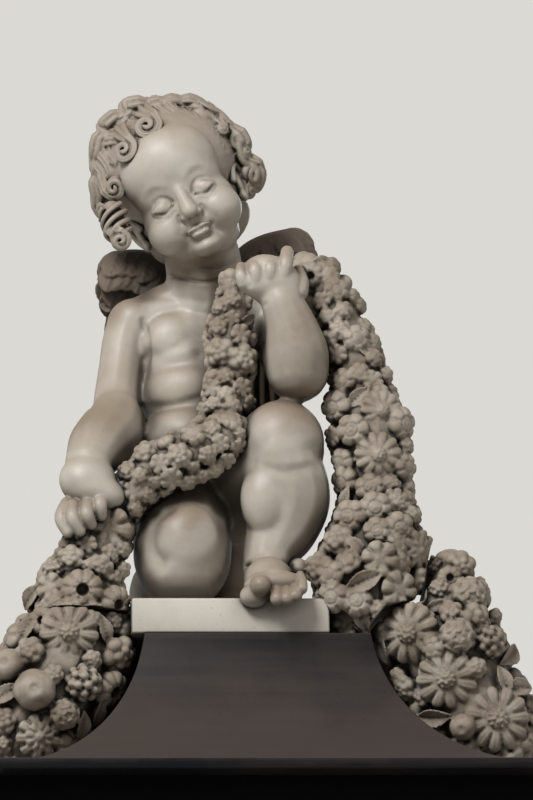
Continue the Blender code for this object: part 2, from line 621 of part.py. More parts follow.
def keep_one_body(obj):
    """Drops the crumbs that a cut leaves beside the main body."""
    bpy.ops.object.select_all(action="DESELECT")
    bpy.context.view_layer.objects.active = obj
    obj.select_set(True)
    for modifier in list(obj.modifiers):
        bpy.ops.object.modifier_apply(modifier=modifier.name)
    mesh = bmesh.new()
    mesh.from_mesh(obj.data)
    loose, bodies = set(mesh.verts), []
    while loose:
        body, edge_of_body = set(), [loose.pop()]
        while edge_of_body:
            vertex = edge_of_body.pop()
            body.add(vertex)
            for edge in vertex.link_edges:
                other = edge.other_vert(vertex)
                if other in loose:
                    loose.discard(other)
                    edge_of_body.append(other)
        bodies.append(body)
    bodies.sort(key=len)
    for body in bodies[:-1]:
        bmesh.ops.delete(mesh, geom=list(body), context="VERTS")
    mesh.to_mesh(obj.data)
    mesh.free()
    return obj


def slab_bed():
    """The slab with a mason's gap round it."""
    half = Vector((SLAB_WIDTH, SLAB_DEPTH, SLAB_HEIGHT)) / 2 + Vector((MASON_GAP,) * 3)
    bed = box(SLAB_CENTRE - half, SLAB_CENTRE + half)
    bed.name = "slab_bed"
    return bed


def cap_bed(guides):
    """The cap with a mason's gap round it."""
    bed, hollows = hollow_sided_block(MASON_GAP)
    bed.name = "cap_bed"
    for hollow in hollows:
        hollow.name = "cap_bed_hollow"
        cut_with(bed, hollow, guides)
    return bed


def joint_block(line, side, name, above):
    """A block that fills all above or all below a joint's line, with half of the joint's width."""
    far, half = side * 60.0, BLOCK_JOINT / UNIT / 2
    if above:
        corners = [*line, (line[-1][0], 60.0), (0.0, 60.0), (0.0, line[0][1])]
        shift = (side * half, -half)
    else:
        corners = [*line, (far, line[-1][1]), (far, -60.0), (line[0][0], -60.0)]
        shift = (-side * half, half)
    bpy.ops.mesh.primitive_circle_add(vertices=len(corners), fill_type="NGON")
    made = bpy.context.object
    made.name = name
    for vertex, (x, z) in zip(made.data.vertices, corners):
        vertex.co = place(x + shift[0], 0, z + shift[1])
    depth = made.modifiers.new("depth", "SOLIDIFY")
    depth.thickness = 1.0
    depth.offset = 0.0
    return made


def cut_body(obj, cutters, guides):
    """Makes every cut and keeps the one body that is left."""
    for cutter in cutters:
        cut_with(obj, cutter, guides)
    return keep_one_body(obj)


def figure(home, guides, material):
    """The child with its garland, carved from one block and cut to sit on the slab."""
    flesh = fused(
        torso() + kneeling_leg() + standing_leg() + support() + hanging_arm() + raised_arm() + head_masses(),
        BODY_VOXEL, 10,
    )
    carving = right_fingers() + left_fingers() + feet() + face_relief() + hair() + upper_garland()
    carving += wing(-1, (-7.6, 7.0, 46.0), (-15.9, 9.8, 51.4), (-14.4, 11.2, 28.0))
    carving += wing(1, (-2.6, 7.0, 46.0), (8.3, 10.4, 55.0), (6.8, 11.2, 29.6))
    skin = thin_out(fused([flesh, *carving], DETAIL_VOXEL, 3), FIGURE_TRIANGLES)
    finish(skin, "child_with_garland", home, material)
    joints = [
        joint_block(LEFT_JOINT, -1, "below_left_joint", False),
        joint_block(RIGHT_JOINT, 1, "below_right_joint", False),
    ]
    cut_body(skin, [slab_bed(), cap_bed(guides), *joints], guides)


def swag(name, side, points, backing, flowers, seed, joint, home, guides, material):
    """A block of flowers and fruit that lies against a flank of the cap and follows its top edge."""
    edge = side * CAP_TOP_WIDTH / 2 / UNIT
    route, behind = ([(edge + x, *rest) for x, *rest in line] for line in (points, backing))
    places = [(kind, edge + x, z, size) for kind, x, z, size in flowers]
    shapes = strand(route, places, SWAG_FILL, seed, LARGE) + limb(behind)
    skin = thin_out(fused(shapes, GARLAND_VOXEL, 3), BLOCK_TRIANGLES)
    finish(skin, name, home, material)
    above = joint_block(joint, side, "above_joint", True)
    cut_body(skin, [slab_bed(), cap_bed(guides), above], guides)


def main():
    """Builds every piece."""
    clear_scene()
    home = collection("monument_crowning_group")
    guides = collection("cutters")
    limestone = stone("black_limestone", *LIMESTONE)
    marble = stone("weathered_marble", *MARBLE)
    white = stone("white_marble", *SLAB_MARBLE)
    cap_and_base(home, guides, limestone)
    slab(home, white)
    swag("left_swag", -1, LEFT_BLOCK, LEFT_BACKING, LEFT_FLOWERS, 13, LEFT_JOINT, home, guides, marble)
    swag("right_swag", 1, RIGHT_BLOCK, RIGHT_BACKING, RIGHT_FLOWERS, 17, RIGHT_JOINT, home, guides, marble)
    figure(home, guides, marble)


main()
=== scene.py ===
"""Looks of the monument's crowning group: a carved marble child with a flower garland, on a marble
slab and a black limestone cap. Metres, +Z up, -Y is the front. The carving is laid out in 73rds of
the figure's height, from the middle of the cap at the slab's top."""

import math
import random

import bpy
import numpy as np
from mathutils import Euler, Matrix, Vector


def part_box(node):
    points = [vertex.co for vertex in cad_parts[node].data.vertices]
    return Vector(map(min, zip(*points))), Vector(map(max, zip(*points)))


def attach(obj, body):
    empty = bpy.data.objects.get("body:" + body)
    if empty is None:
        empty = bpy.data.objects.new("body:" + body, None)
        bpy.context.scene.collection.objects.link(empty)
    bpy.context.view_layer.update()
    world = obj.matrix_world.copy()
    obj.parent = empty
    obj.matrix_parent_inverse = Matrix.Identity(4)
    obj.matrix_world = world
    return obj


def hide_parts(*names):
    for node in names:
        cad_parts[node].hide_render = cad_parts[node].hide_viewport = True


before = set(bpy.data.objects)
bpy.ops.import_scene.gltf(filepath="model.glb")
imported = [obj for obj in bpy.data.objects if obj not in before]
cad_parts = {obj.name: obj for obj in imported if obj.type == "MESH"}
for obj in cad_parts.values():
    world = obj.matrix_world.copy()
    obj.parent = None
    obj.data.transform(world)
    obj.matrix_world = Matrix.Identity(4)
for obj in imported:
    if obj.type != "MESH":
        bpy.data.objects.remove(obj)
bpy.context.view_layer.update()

# The figure's unit and its origin, which the slab carries
FIGURE_HEIGHT = 0.73
UNIT = FIGURE_HEIGHT / 73
SLAB_LOW, SLAB_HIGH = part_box("marble_slab")
CAP_LOW, CAP_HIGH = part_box("black_cap")
BASE_LOW, BASE_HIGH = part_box("black_base")
FIGURE_ORIGIN = Vector((0, 0, SLAB_HIGH.z))

# The cap as the model has it, its arrises, the slab's worn edges and what stays a sharp edge
CAP_TOP_WIDTH = 0.300
CAP_TOP_DEPTH = 0.280
CAP_FLARE = 0.257
CAP_TOP_LEAN = math.radians(8)
CAP_END_ANGLE = math.radians(89)
CAP_STEPS = 36
ARRIS = 0.0014
SLAB_WEAR = 0.0032
SHARP = math.radians(30)

# Grain of the carving: voxels of the soft masses and of each finished skin, rounds of smoothing of
# both, faces kept in each piece
SOFT_VOXEL = 0.0030
SKIN_VOXEL = 0.0014
HAIR_VOXEL = 0.0011
WING_VOXEL = 0.0016
GARLAND_VOXEL = 0.0014
SOFT_ROUNDS = 14
SKIN_ROUNDS = 4
BODY_FACES = 140000
HAIR_FACES = 195000
WING_FACES = 80000
GARLAND_FACES = 140000
# Joint between garland and swag, gap round what the carving stands on, and a block's reach past it
BLOCK_JOINT = 0.003
MASON_GAP = 0.0004
FAR = 60.0

# Camera: below the group and a little to the left, with a long lens
CAMERA_AZIMUTH = math.radians(-5.5)
CAMERA_ELEVATION = math.radians(-15.0)
CAMERA_ROLL = math.radians(1.2)
CAMERA_DISTANCE = 10.0
CAMERA_AIM = Vector((0.0100, -0.2212, 0.5941))
CAMERA_LENS = 340.9
CAMERA_REACH = 60
SENSOR = 36.0
FRAME_WIDTH, FRAME_HEIGHT = 533, 800
# A pixel of the frame at the group, in figure units
PIXEL = 0.132


def camera_axes():
    """Right, up and back of the camera."""
    a, e = CAMERA_AZIMUTH, CAMERA_ELEVATION
    back = Vector((math.sin(a) * math.cos(e), -math.cos(a) * math.cos(e), math.sin(e)))
    level = Vector((math.cos(a), math.sin(a), 0))
    upright = back.cross(level)
    right = level * math.cos(CAMERA_ROLL) - upright * math.sin(CAMERA_ROLL)
    up = level * math.sin(CAMERA_ROLL) + upright * math.cos(CAMERA_ROLL)
    return right, up, back


# The way from the group to the camera
VIEWER = camera_axes()[2]


def add_camera():
    """The camera at the photograph's viewing angle."""
    right, up, back = camera_axes()
    bpy.ops.object.camera_add()
    camera = bpy.context.object
    turned = Matrix((right, up, back)).transposed().to_4x4()
    camera.matrix_world = Matrix.Translation(CAMERA_AIM + back * CAMERA_DISTANCE) @ turned
    camera.data.lens = CAMERA_LENS
    camera.data.sensor_width = SENSOR
    camera.data.clip_end = CAMERA_REACH
    bpy.context.scene.camera = camera


def seen(across, down, depth):
    """The point of the figure, in its own units, that shows at a place of the 533 by 800 frame and
    lies at a depth from the cap's middle, forwards negative."""
    right, up, back = camera_axes()
    pixels = CAMERA_LENS / SENSOR * FRAME_HEIGHT
    aside, above = (across - FRAME_WIDTH / 2) / pixels, (FRAME_HEIGHT / 2 - down) / pixels
    ray = right * aside + up * above - back
    start = CAMERA_AIM + back * CAMERA_DISTANCE
    hit = start + ray * ((depth * UNIT - start.y) / ray.y)
    return (hit - FIGURE_ORIGIN) / UNIT


def place(point):
    """From the figure's units to metres."""
    return FIGURE_ORIGIN + UNIT * Vector(point)


def quiet():
    """Deselects everything."""
    bpy.ops.object.select_all(action="DESELECT")


def only(obj):
    """Selects one object and makes it the active one."""
    quiet()
    obj.select_set(True)
    bpy.context.view_layer.objects.active = obj
    return obj


def modify(obj, kind, **settings):
    """Adds a modifier of a kind, with its settings."""
    modifier = obj.modifiers.new(kind.lower(), kind)
    for key, value in settings.items():
        setattr(modifier, key, value)


def apply_all(obj):
    """Applies every modifier of an object, each worked out once only."""
    for modifier in obj.modifiers:
        modifier.show_viewport = False
    only(obj)
    for modifier in list(obj.modifiers):
        bpy.ops.object.modifier_apply(modifier=modifier.name)
    return obj


def settle(obj):
    """Puts an object's place, turn and scale into its mesh."""
    only(obj)
    bpy.ops.object.transform_apply(location=True, rotation=True, scale=True)
    return obj


# Shapes of the carving

def ball(centre, radii, turn=(0, 0, 0), segments=32):
    """An ellipsoid mass in figure units, turned by degrees about X, Y and Z."""
    bpy.ops.mesh.primitive_uv_sphere_add(
        segments=segments, ring_count=segments // 2, radius=1, location=place(centre),
        rotation=[math.radians(a) for a in turn],
    )
    made = bpy.context.object
    made.scale = UNIT * Vector(radii)
    return made


def smooth_route(points, steps=8):
    """A smooth line of tuples through the given ones, by Catmull and Rom's rule."""
    padded = [points[0], *points, points[-1]]
    route = []
    for a, b, c, d in zip(padded, padded[1:], padded[2:], padded[3:]):
        for k in range(steps):
            t = k / steps
            route.append(tuple(
                0.5 * (2 * q + (r - p) * t + (2 * p - 5 * q + 4 * r - s) * t**2
                       + (3 * q - p - 3 * r + s) * t**3)
                for p, q, r, s in zip(a, b, c, d)
            ))
    route.append(tuple(points[-1]))
    return route


def tube(points, sides=4, steps=8):
    """A round tube through points (x, y, z, radius) in figure units, open lines rounded off by balls."""
    route = smooth_route(points, steps)
    curve = bpy.data.curves.new("tube", "CURVE")
    curve.dimensions = "3D"
    curve.bevel_depth = 1.0
    curve.bevel_resolution = sides
    curve.use_fill_caps = True
    spline = curve.splines.new("POLY")
    spline.points.add(len(route) - 1)
    for point, (x, y, z, radius) in zip(spline.points, route):
        point.co = (*place((x, y, z)), 1)
        point.radius = radius * UNIT
    drawn = bpy.data.objects.new("tube", curve)
    bpy.context.scene.collection.objects.link(drawn)
    mesh = bpy.data.meshes.new_from_object(drawn.evaluated_get(bpy.context.evaluated_depsgraph_get()))
    made = bpy.data.objects.new("tube", mesh)
    bpy.context.scene.collection.objects.link(made)
    bpy.data.objects.remove(drawn, do_unlink=True)
    return made


def limb(points):
    """A round limb with round ends."""
    ends = [ball(p[:3], (p[3],) * 3, segments=16) for p in (points[0], points[-1])]
    return [tube(points), *ends]


def joined(shapes):
    """All the shapes as one mesh object, with its place in its mesh."""
    quiet()
    for shape in shapes:
        shape.select_set(True)
    bpy.context.view_layer.objects.active = shapes[0]
    bpy.ops.object.join()
    bpy.ops.object.transform_apply(location=True, rotation=True, scale=True)
    return bpy.context.object


def fused(shapes, voxel, rounds):
    """One closed skin round all the shapes, softened by some rounds of smoothing."""
    skin = joined(shapes)
    modify(skin, "REMESH", mode="VOXEL", voxel_size=voxel)
    modify(skin, "SMOOTH", iterations=rounds, factor=0.5)
    return apply_all(skin)


def thin_out(obj, faces):
    """Brings a dense skin down to about so many triangles."""
    obj.data.calc_loop_triangles()
    current = len(obj.data.loop_triangles)
    if current > faces:
        modify(obj, "DECIMATE", ratio=faces / current)
        apply_all(obj)
    only(obj)
    bpy.ops.object.shade_smooth()
    return obj


def copy_of(model, matrix):
    """A copy of a model with a mesh of its own, placed by a matrix."""
    made = model.copy()
    made.data = model.data.copy()
    made.matrix_world = matrix
    bpy.context.scene.collection.objects.link(made)
    return made


def finish_piece(obj, name, node, material):
    """Names a piece, gives it its material, ties it to the body and hides the model's solid that it stands
    for.
    """
    obj.name = name
    obj.data.name = name
    obj.data.materials.clear()
    obj.data.materials.append(material)
    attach(obj, "root")
    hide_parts(node)
    return obj


# Tooling of a skin: grooves and swellings pushed along its normals

# How far in front of the skin or behind it a mark's route may lie, and what that depth counts for
MARK_DEPTH = 5.0
DEPTH_SHARE = 0.35


def skin_arrays(obj):
    """Points of a skin in figure units, and their normals."""
    count = len(obj.data.vertices)
    points = np.empty(count * 3)
    obj.data.vertices.foreach_get("co", points)
    points = (points.reshape(count, 3) - np.array(FIGURE_ORIGIN)) / UNIT
    normals = np.empty(count * 3)
    obj.data.vertices.foreach_get("normal", normals)
    return points, normals.reshape(count, 3)


def set_points(obj, points):
    """Writes points in figure units back to a skin."""
    obj.data.vertices.foreach_set("co", (points * UNIT + np.array(FIGURE_ORIGIN)).ravel())
    obj.data.update()


def to_route(local, route):
    """Distance of each local point to a line, with depth counted for less."""
    squash = np.array((1.0, DEPTH_SHARE, 1.0))
    nearest = np.full(len(local), 1e9)
    for a, b in zip(route, route[1:]):
        a, b = np.array(a) * squash, np.array(b) * squash
        along = b - a
        t = np.clip(((local * squash - a) @ along) / max(along @ along, 1e-9), 0, 1)
        nearest = np.minimum(nearest, np.linalg.norm(local * squash - a - t[:, None] * along, axis=1))
    return nearest


def tool(obj, marks, middle=(0, 0, 0), turn=None):
    """Cuts grooves and raises swellings on the side of a skin that faces its maker. A mark is a
    route of points, a width and a height, negative for a groove; a swelling's route is one point."""
    points, normals = skin_arrays(obj)
    axes = np.array(turn) if turn is not None else np.eye(3)
    local = (points - np.array(middle)) @ axes
    facing = np.clip(-(normals @ axes)[:, 1] * 4, 0, 1)
    push = np.zeros(len(points))
    for route, width, height in marks:
        route = [tuple(p) for p in route]
        path = smooth_route(route, 5) if len(route) > 1 else [route[0], route[0]]
        corners = np.array(path)
        margin = np.array((3 * width, 3 * width + MARK_DEPTH, 3 * width))
        inside = np.all((local > corners.min(0) - margin) & (local < corners.max(0) + margin), axis=1)
        distance = to_route(local[inside], path)
        push[inside] += height * np.exp(-((distance / width) ** 2)) * facing[inside]
    set_points(obj, points + normals * push[:, None])


# The child's body

def torso():
    """Pelvis, two-fold belly, rib cage, breasts, shoulders and neck."""
    return [
        ball((-5.6, 5.0, 19.0), (8.4, 7.6, 7.4)),
        ball((-9.2, 8.0, 16.6), (5.4, 5.4, 6.2)),
        ball((-2.2, 8.0, 16.8), (5.4, 5.4, 6.2)),
        ball((-6.9, -0.2, 24.6), (7.5, 6.9, 5.4)),
        ball((-6.5, 0.7, 31.2), (7.5, 6.4, 5.8)),
        ball((-6.2, 1.4, 35.6), (7.8, 6.1, 5.6)),
        ball((-6.0, 2.0, 38.6), (8.0, 6.0, 6.4)),
        ball((-9.3, -0.6, 38.6), (4.7, 3.5, 4.2), (0, -8, 0)),
        ball((-2.7, -0.4, 39.0), (4.7, 3.5, 4.2), (0, 8, 0)),
        *limb([(-14.2, 2.0, 41.6, 3.6), (-9.5, 2.2, 43.4, 4.3), (-5.0, 2.2, 44.2, 4.6),
               (0.5, 2.4, 43.6, 4.3), (4.6, 1.6, 42.0, 3.8)]),
        *limb([(-4.9, 1.6, 44.5, 5.4), (-4.9, 0.4, 48.4, 5.3), (-5.4, -0.6, 51.4, 5.2)]),
    ]


def support():
    """The rough stone under the seat that the carver left to carry the child."""
    return limb([(-1.2, 5.6, 0.6, 4.6), (-1.8, 6.4, 6.0, 4.2), (-2.6, 6.6, 13.0, 4.6)]) + [
        ball((-3.6, 5.2, 1.2), (6.2, 5.4, 2.6)),
    ]


def kneeling_leg():
    """The child's right leg: thigh forward, knee on the slab, shin folded under, foot behind."""
    return [
        *limb([(-8.8, 3.5, 17.5, 7.0), (-9.0, -2.0, 12.6, 6.8), (-9.0, -6.2, 8.6, 6.6)]),
        ball((-9.2, -6.6, 7.8), (6.6, 6.2, 7.9)),
        ball((-8.8, -10.4, 8.6), (4.4, 3.0, 5.0)),
        *limb([(-10.2, -4.0, 4.4, 4.6), (-11.2, 2.5, 4.5, 4.6), (-10.6, 8.0, 3.8, 3.2)]),
        ball((-10.0, 9.5, 3.2), (2.8, 3.0, 3.2)),
        *toes((0.2, -2.4, 1.0), (-8.2, 11.4, 1.2), (-1.1, -0.2, 0.0), (1.2, 0.9, 0.85, 0.8, 0.75)),
    ]


def standing_leg():
    """The child's left leg: knee high, shin upright, foot forward over the slab's edge."""
    return [
        *limb([(-1.6, 4.0, 18.0, 7.0), (1.6, -3.0, 20.4, 6.7), (3.8, -8.0, 21.6, 6.3)]),
        ball((4.2, -9.4, 22.2), (5.7, 5.5, 5.9)),
        ball((4.0, -12.6, 20.6), (3.4, 2.4, 3.6)),
        *limb([(4.4, -9.4, 18.6, 5.5), (4.9, -8.2, 14.8, 5.8), (3.9, -8.0, 10.8, 5.0),
               (2.3, -8.8, 7.4, 3.7), (1.8, -9.3, 5.2, 3.3)]),
        ball((1.7, -10.6, 14.2), (3.4, 3.2, 5.2)),
        *limb([(1.7, -8.6, 3.0, 3.1), (1.9, -11.6, 3.0, 3.3), (2.3, -14.0, 1.9, 2.4)]),
    ]


def toes(foot_side, big_toe, step, sizes):
    """A row of toes: the big toe first, then the others at even steps."""
    row = []
    for k, size in enumerate(sizes):
        tip = [b + s * k for b, s in zip(big_toe, step)]
        root = [t + f for t, f in zip(tip, foot_side)]
        row += limb([(*root, size * 0.9), (*tip, size)])
    return row


def forward_foot():
    """Ball of the front foot, big toe raised towards the viewer, four toes over the slab's edge."""
    made = [
        ball((2.4, -13.4, 1.7), (4.1, 3.2, 2.0), (0, 0, -8)),
        ball(seen(254, 596, -14.4), (1.9, 1.7, 1.6)),
        *limb([(*seen(259, 585, -13.8), 1.4), (*seen(261, 586, -16.2), 1.46)]),
    ]
    for across, down, size in ((277, 599, 0.95), (287, 599, 0.94), (296, 596, 0.88), (302, 589, 0.75)):
        made += limb([
            (*seen(across - 2, down - 14, -13.6), size * 0.8),
            (*seen(across, down - 7, -15.8), size * 0.95),
            (*seen(across, down, -16.9), size),
        ])
    return made


def hanging_arm():
    """The child's right arm, down to the hand on the garland."""
    return [
        *limb([(-14.6, 1.6, 41.6, 3.7), (-15.8, 1.2, 39.0, 3.2), (-16.5, 0.4, 35.0, 3.1),
               (-17.1, -0.6, 31.0, 3.2), (-17.3, -1.4, 29.0, 3.3)]),
        *limb([(-17.4, -2.4, 27.6, 3.7), (-18.4, -4.4, 25.0, 4.4), (-20.2, -6.8, 22.4, 4.2),
               (-21.7, -9.2, 19.4, 3.3)]),
        ball((-22.0, -11.0, 16.6), (3.9, 2.8, 3.7), (-15, 10, 0)),
        ball((-21.0, -11.8, 14.8), (4.0, 2.3, 2.6), (-15, 14, 0)),
    ]


def raised_arm():
    """The child's left arm, folded so that its forearm stands upright in front of the shoulder."""
    return [
        *limb([(4.8, 1.6, 41.6, 3.9), (5.8, -3.2, 37.0, 4.1), (6.4, -8.0, 33.4, 4.3)]),
        *limb([(6.4, -10.4, 32.0, 4.3), (6.2, -11.2, 34.6, 4.3), (5.4, -12.0, 38.0, 3.5),
               (4.3, -12.6, 40.8, 2.9)]),
        ball((2.9, -12.8, 43.8), (4.4, 2.4, 3.4), (10, 30, 0)),
        ball(seen(258, 284, -13.0), (3.2, 2.0, 2.0), (0, 20, 0)),
        ball(seen(280, 280, -12.6), (2.8, 2.0, 2.4), (0, 20, 0)),
    ]


def fingers():
    """Fingers of both hands, each by the places where its joints show."""
    digits = [
        [(68, 505, -11.4, 1.15), (61.7, 518, -12.8, 1.0), (68, 532, -13.2, 0.85)],
        [(74, 506, -12.6, 1.05), (73, 518, -14.0, 0.98), (80, 531, -13.6, 0.82)],
        [(88, 503, -12.8, 1.05), (87, 514, -14.2, 0.98), (91, 524, -13.6, 0.82)],
        [(100, 496, -12.6, 1.05), (100, 506, -13.8, 0.98), (101, 515, -13.4, 0.85)],
        [(108, 484, -11.2, 0.95), (112, 497, -12.0, 0.88), (112, 505, -11.4, 0.75)],
        [(244, 283, -13.6, 0.95), (241, 275, -13.9, 0.82), (241, 267, -12.9, 0.72)],
        [(256, 279, -14.2, 0.98), (255, 270, -14.4, 0.92), (254, 263, -13.2, 0.80)],
        [(270, 276, -14.4, 1.0), (270, 268, -14.5, 0.95), (270, 261, -13.2, 0.80)],
        [(284, 274, -14.2, 1.05), (286, 263, -14.3, 1.0), (287, 252, -13.0, 0.88)],
        [(298, 292, -12.6, 1.4), (300, 283, -12.2, 1.25), (298, 272, -10.8, 0.95)],
    ]
    made = []
    for joints in digits:
        made += limb([(*seen(across, down, depth), radius) for across, down, depth, radius in joints])
    return made


# Marks on the body, in figure units: route, width, height
BODY_MARKS = [
    ([(-13.8, -3, 29.2), (-10.0, -6, 28.7), (-5.6, -7, 29.7), (0.0, -6, 30.4)], 0.55, -0.55),
    ([(-13.0, -4, 26.0), (-7.6, -7, 22.6), (-1.0, -6, 23.0)], 1.0, -0.15),
    ([(-6.0, -4, 42.0), (-6.1, -5, 38.4), (-6.2, -5, 34.6)], 1.1, -0.18),
    ([(-12.6, -3, 36.4), (-10.6, -5, 34.9), (-8.4, -5, 34.9), (-6.6, -5, 35.8)], 0.8, -0.16),
    ([(-5.8, -5, 36.0), (-3.6, -5, 35.2), (-1.0, -5, 35.6)], 0.8, -0.12),
    ([(-9.6, -5, 37.6)], 0.32, 0.22),
    ([(-13.6, -1, 41.4), (-13.0, -2, 38.6), (-13.3, -2, 34.4)], 0.45, -0.40),
    ([(-13.6, -1, 45.0), (-9.6, -3, 44.6), (-5.6, -3.6, 43.4)], 0.7, -0.20),
    ([(-10.4, -1, 48.0), (-5.2, -4.8, 46.0), (0.4, -2, 48.2)], 0.30, -0.36),
    ([(-9.6, -1, 50.2), (-4.6, -5.0, 48.0), (0.6, -2, 50.4)], 0.30, -0.26),
    ([(0.2, -12, 18.6), (4.0, -14, 16.9), (8.0, -12, 18.2)], 0.8, -0.28),
    ([(-0.9, -12, 20.6)], 1.5, -0.35),
    ([(8.8, -11, 20.2)], 1.5, -0.35),
    ([(-1.6, -10, 4.9), (1.0, -12, 5.9), (3.8, -12, 5.3), (6.2, -10, 4.0)], 0.32, -0.40),
    ([(-13.4, -9, 12.6), (-14.2, -9, 8.6), (-12.6, -10, 4.6)], 0.9, -0.30),
    ([(-4.6, -9, 12.8), (-4.0, -9, 8.6), (-5.4, -10, 4.6)], 0.9, -0.20),
]

# Creases where they show in the frame: places across and down, depth, width, height
SEEN_CREASES = [
    ([(88, 409), (103, 411), (119, 421), (131, 434), (135, 446)], -4.0, 0.42, -0.55),
    ([(63, 462), (85, 463), (104, 466), (113, 471)], -9.0, 0.32, -0.45),
    ([(300, 300), (290, 304), (278, 303), (266, 306)], -13.0, 0.34, -0.40),
    ([(168, 506), (156, 516), (151, 534), (153, 550), (162, 561)], -12.0, 1.0, -0.62),
    ([(68, 478), (76, 500)], -12.5, 0.5, -0.12),
    ([(90, 478), (93, 497)], -12.5, 0.4, -0.14),
    ([(264, 268), (264, 282)], -14.0, 0.35, -0.20),
    ([(278, 266), (277, 280)], -14.0, 0.35, -0.20),
    ([(249, 276), (250, 286)], -14.0, 0.35, -0.20),
    ([(244, 566), (264, 563), (284, 569)], -11.0, 0.30, -0.30),
]


# The head, laid out upright from the middle of the skull and then tilted
HEAD_MIDDLE = Vector((-8.4, -2.8, 59.4))
HEAD_TILT = Euler((math.radians(13), math.radians(-26), math.radians(-7)), "YXZ").to_matrix()
HAIR_MIDDLE = Vector((0, 3.2, 3.1))
HAIR_RADII = Vector((9.4, 8.9, 8.6))
# The scalp under the locks, hair first, then brow, skull and face, and the nape: middles and radii on
# the upright head
SCALP = (
    (HAIR_MIDDLE, HAIR_RADII),
    ((0, -3.0, 3.0), (6.8, 5.3, 6.2)),
    ((0, 1.4, 3.0), (7.8, 8.8, 7.6)),
    ((0, -2.4, -3.6), (6.6, 6.0, 6.3)),
)
NAPE = (((0, 4.2, -1.8), (8.8, 7.0, 6.2)), ((0, 4.6, -5.6), (7.4, 4.8, 4.4)))


def on_head(x, y, z):
    """A point of the upright head, carried to the tilted head."""
    return tuple(HEAD_MIDDLE + HEAD_TILT @ Vector((x, y, z)))


def head_ball(centre, radii, turn=(0, 0, 0)):
    """An ellipsoid mass of the head."""
    made = ball(on_head(*centre), radii)
    own = Euler([math.radians(a) for a in turn]).to_matrix()
    made.rotation_euler = (HEAD_TILT @ own).to_euler()
    return made


def head_limb(points):
    """A round ridge or tube on the head."""
    return limb([(*on_head(*p[:3]), p[3]) for p in points])


def head_masses():
    """Skull, brow, cheeks, jaw and a full chin, on an infant's usual proportions."""
    cheeks = [head_ball((s * 3.6, -4.6, -4.9), (3.2, 3.5, 3.3)) for s in (-1, 1)]
    return cheeks + [
        *[head_ball(centre, radii) for centre, radii in SCALP[1:]],
        head_ball((0, -3.4, 0.2), (6.2, 4.6, 3.4)),
        head_ball((0, -6.1, -8.6), (2.3, 2.2, 1.7)),
        head_ball((0, -2.6, -8.0), (5.0, 4.4, 2.9)),
    ]


def face_relief():
    """Nose, closed lids, soft lips and ears of a generic calm infant's face."""
    made = head_limb([(0, -7.1, -0.2, 1.0), (0, -7.6, -1.9, 1.1), (0, -8.4, -3.7, 1.2)])
    made += [
        head_ball((0, -7.85, -7.0), (1.35, 0.70, 0.55)),
        head_ball((0, -6.4, -8.7), (1.9, 1.9, 1.4)),
    ]
    ear_rim = [
        (7.1, -0.3, -2.2), (7.7, 0.4, -0.6), (8.3, 1.9, -0.4), (8.5, 2.5, -1.8), (8.1, 2.0, -3.6),
        (7.5, 0.9, -4.9),
    ]
    for s in (-1, 1):
        made += head_limb([(s * x, y, z, 0.48) for x, y, z in ear_rim])
        made += [
            head_ball((s * 3.05, -6.35, -1.7), (1.75, 1.45, 1.35)),
            head_ball((s * 0.95, -7.95, -4.2), (0.85, 0.8, 0.68)),
            head_ball((s * 0.66, -7.95, -6.2), (1.1, 0.62, 0.46), (0, s * 12, 0)),
            head_ball((s * 7.5, 1.1, -2.6), (0.6, 1.2, 2.0)),
            head_ball((s * 7.4, 0.5, -4.7), (0.6, 0.8, 0.8)),
        ]
    return made


def face_marks():
    """Mouth and chin lines, lid lines, brows, nostrils and soft folds of the face, on the upright head."""
    mouth = [(-1.7, -8, -6.6), (-0.8, -9, -6.52), (0, -9, -6.66), (0.8, -9, -6.52), (1.7, -8, -6.6)]
    marks = [
        (mouth, 0.22, -0.32),
        ([(0, -9, -5.0), (0, -9, -5.9)], 0.34, -0.14),
        ([(-1.2, -9, -7.85), (0, -9, -7.95), (1.2, -9, -7.85)], 0.55, -0.22),
    ]
    for s in (-1, 1):
        upper_lid = [(s * 1.6, -8, -1.4), (s * 2.2, -8, -0.6), (s * 3.2, -8, -0.25), (s * 4.5, -7, -1.1)]
        marks += [
            ([(s * 1.8, -8, -1.9), (s * 3.0, -8, -2.5), (s * 4.4, -7, -2.0)], 0.16, -0.32),
            (upper_lid, 0.26, -0.26),
            ([(s * 1.9, -8, -2.9), (s * 3.1, -8, -3.3), (s * 4.4, -7, -2.8)], 0.34, -0.12),
            ([(s * 1.5, -8, 0.9), (s * 3.2, -8, 1.5), (s * 5.0, -7, 0.7)], 0.60, 0.16),
            ([(s * 1.6, -8, -1.6)], 0.60, -0.28),
            ([(s * 0.55, -9, -4.9)], 0.28, -0.36),
            ([(s * 1.7, -8, -3.7), (s * 1.9, -8, -4.4), (s * 1.5, -8, -4.9)], 0.30, -0.24),
            ([(s * 2.0, -8, -6.6)], 0.45, -0.16),
            ([(s * 2.1, -8, -5.0), (s * 2.7, -8, -6.0)], 0.55, -0.12),
        ]
    return marks


def body(material):
    """The child's body and face."""
    masses = torso() + support() + kneeling_leg() + standing_leg() + hanging_arm() + raised_arm()
    flesh = fused(masses + head_masses(), SOFT_VOXEL, SOFT_ROUNDS)
    skin = fused([flesh, *forward_foot(), *fingers(), *face_relief()], SKIN_VOXEL, SKIN_ROUNDS)
    creases = [
        ([seen(across, down, depth) for across, down in places], width, height)
        for places, depth, width, height in SEEN_CREASES
    ]
    tool(skin, BODY_MARKS + creases)
    tool(skin, face_marks(), HEAD_MIDDLE, HEAD_TILT)
    thin_out(skin, BODY_FACES)
    trim(skin, [slab_bed()])
    return finish_piece(skin, "child_body", "child_with_garland", material)


# The hair

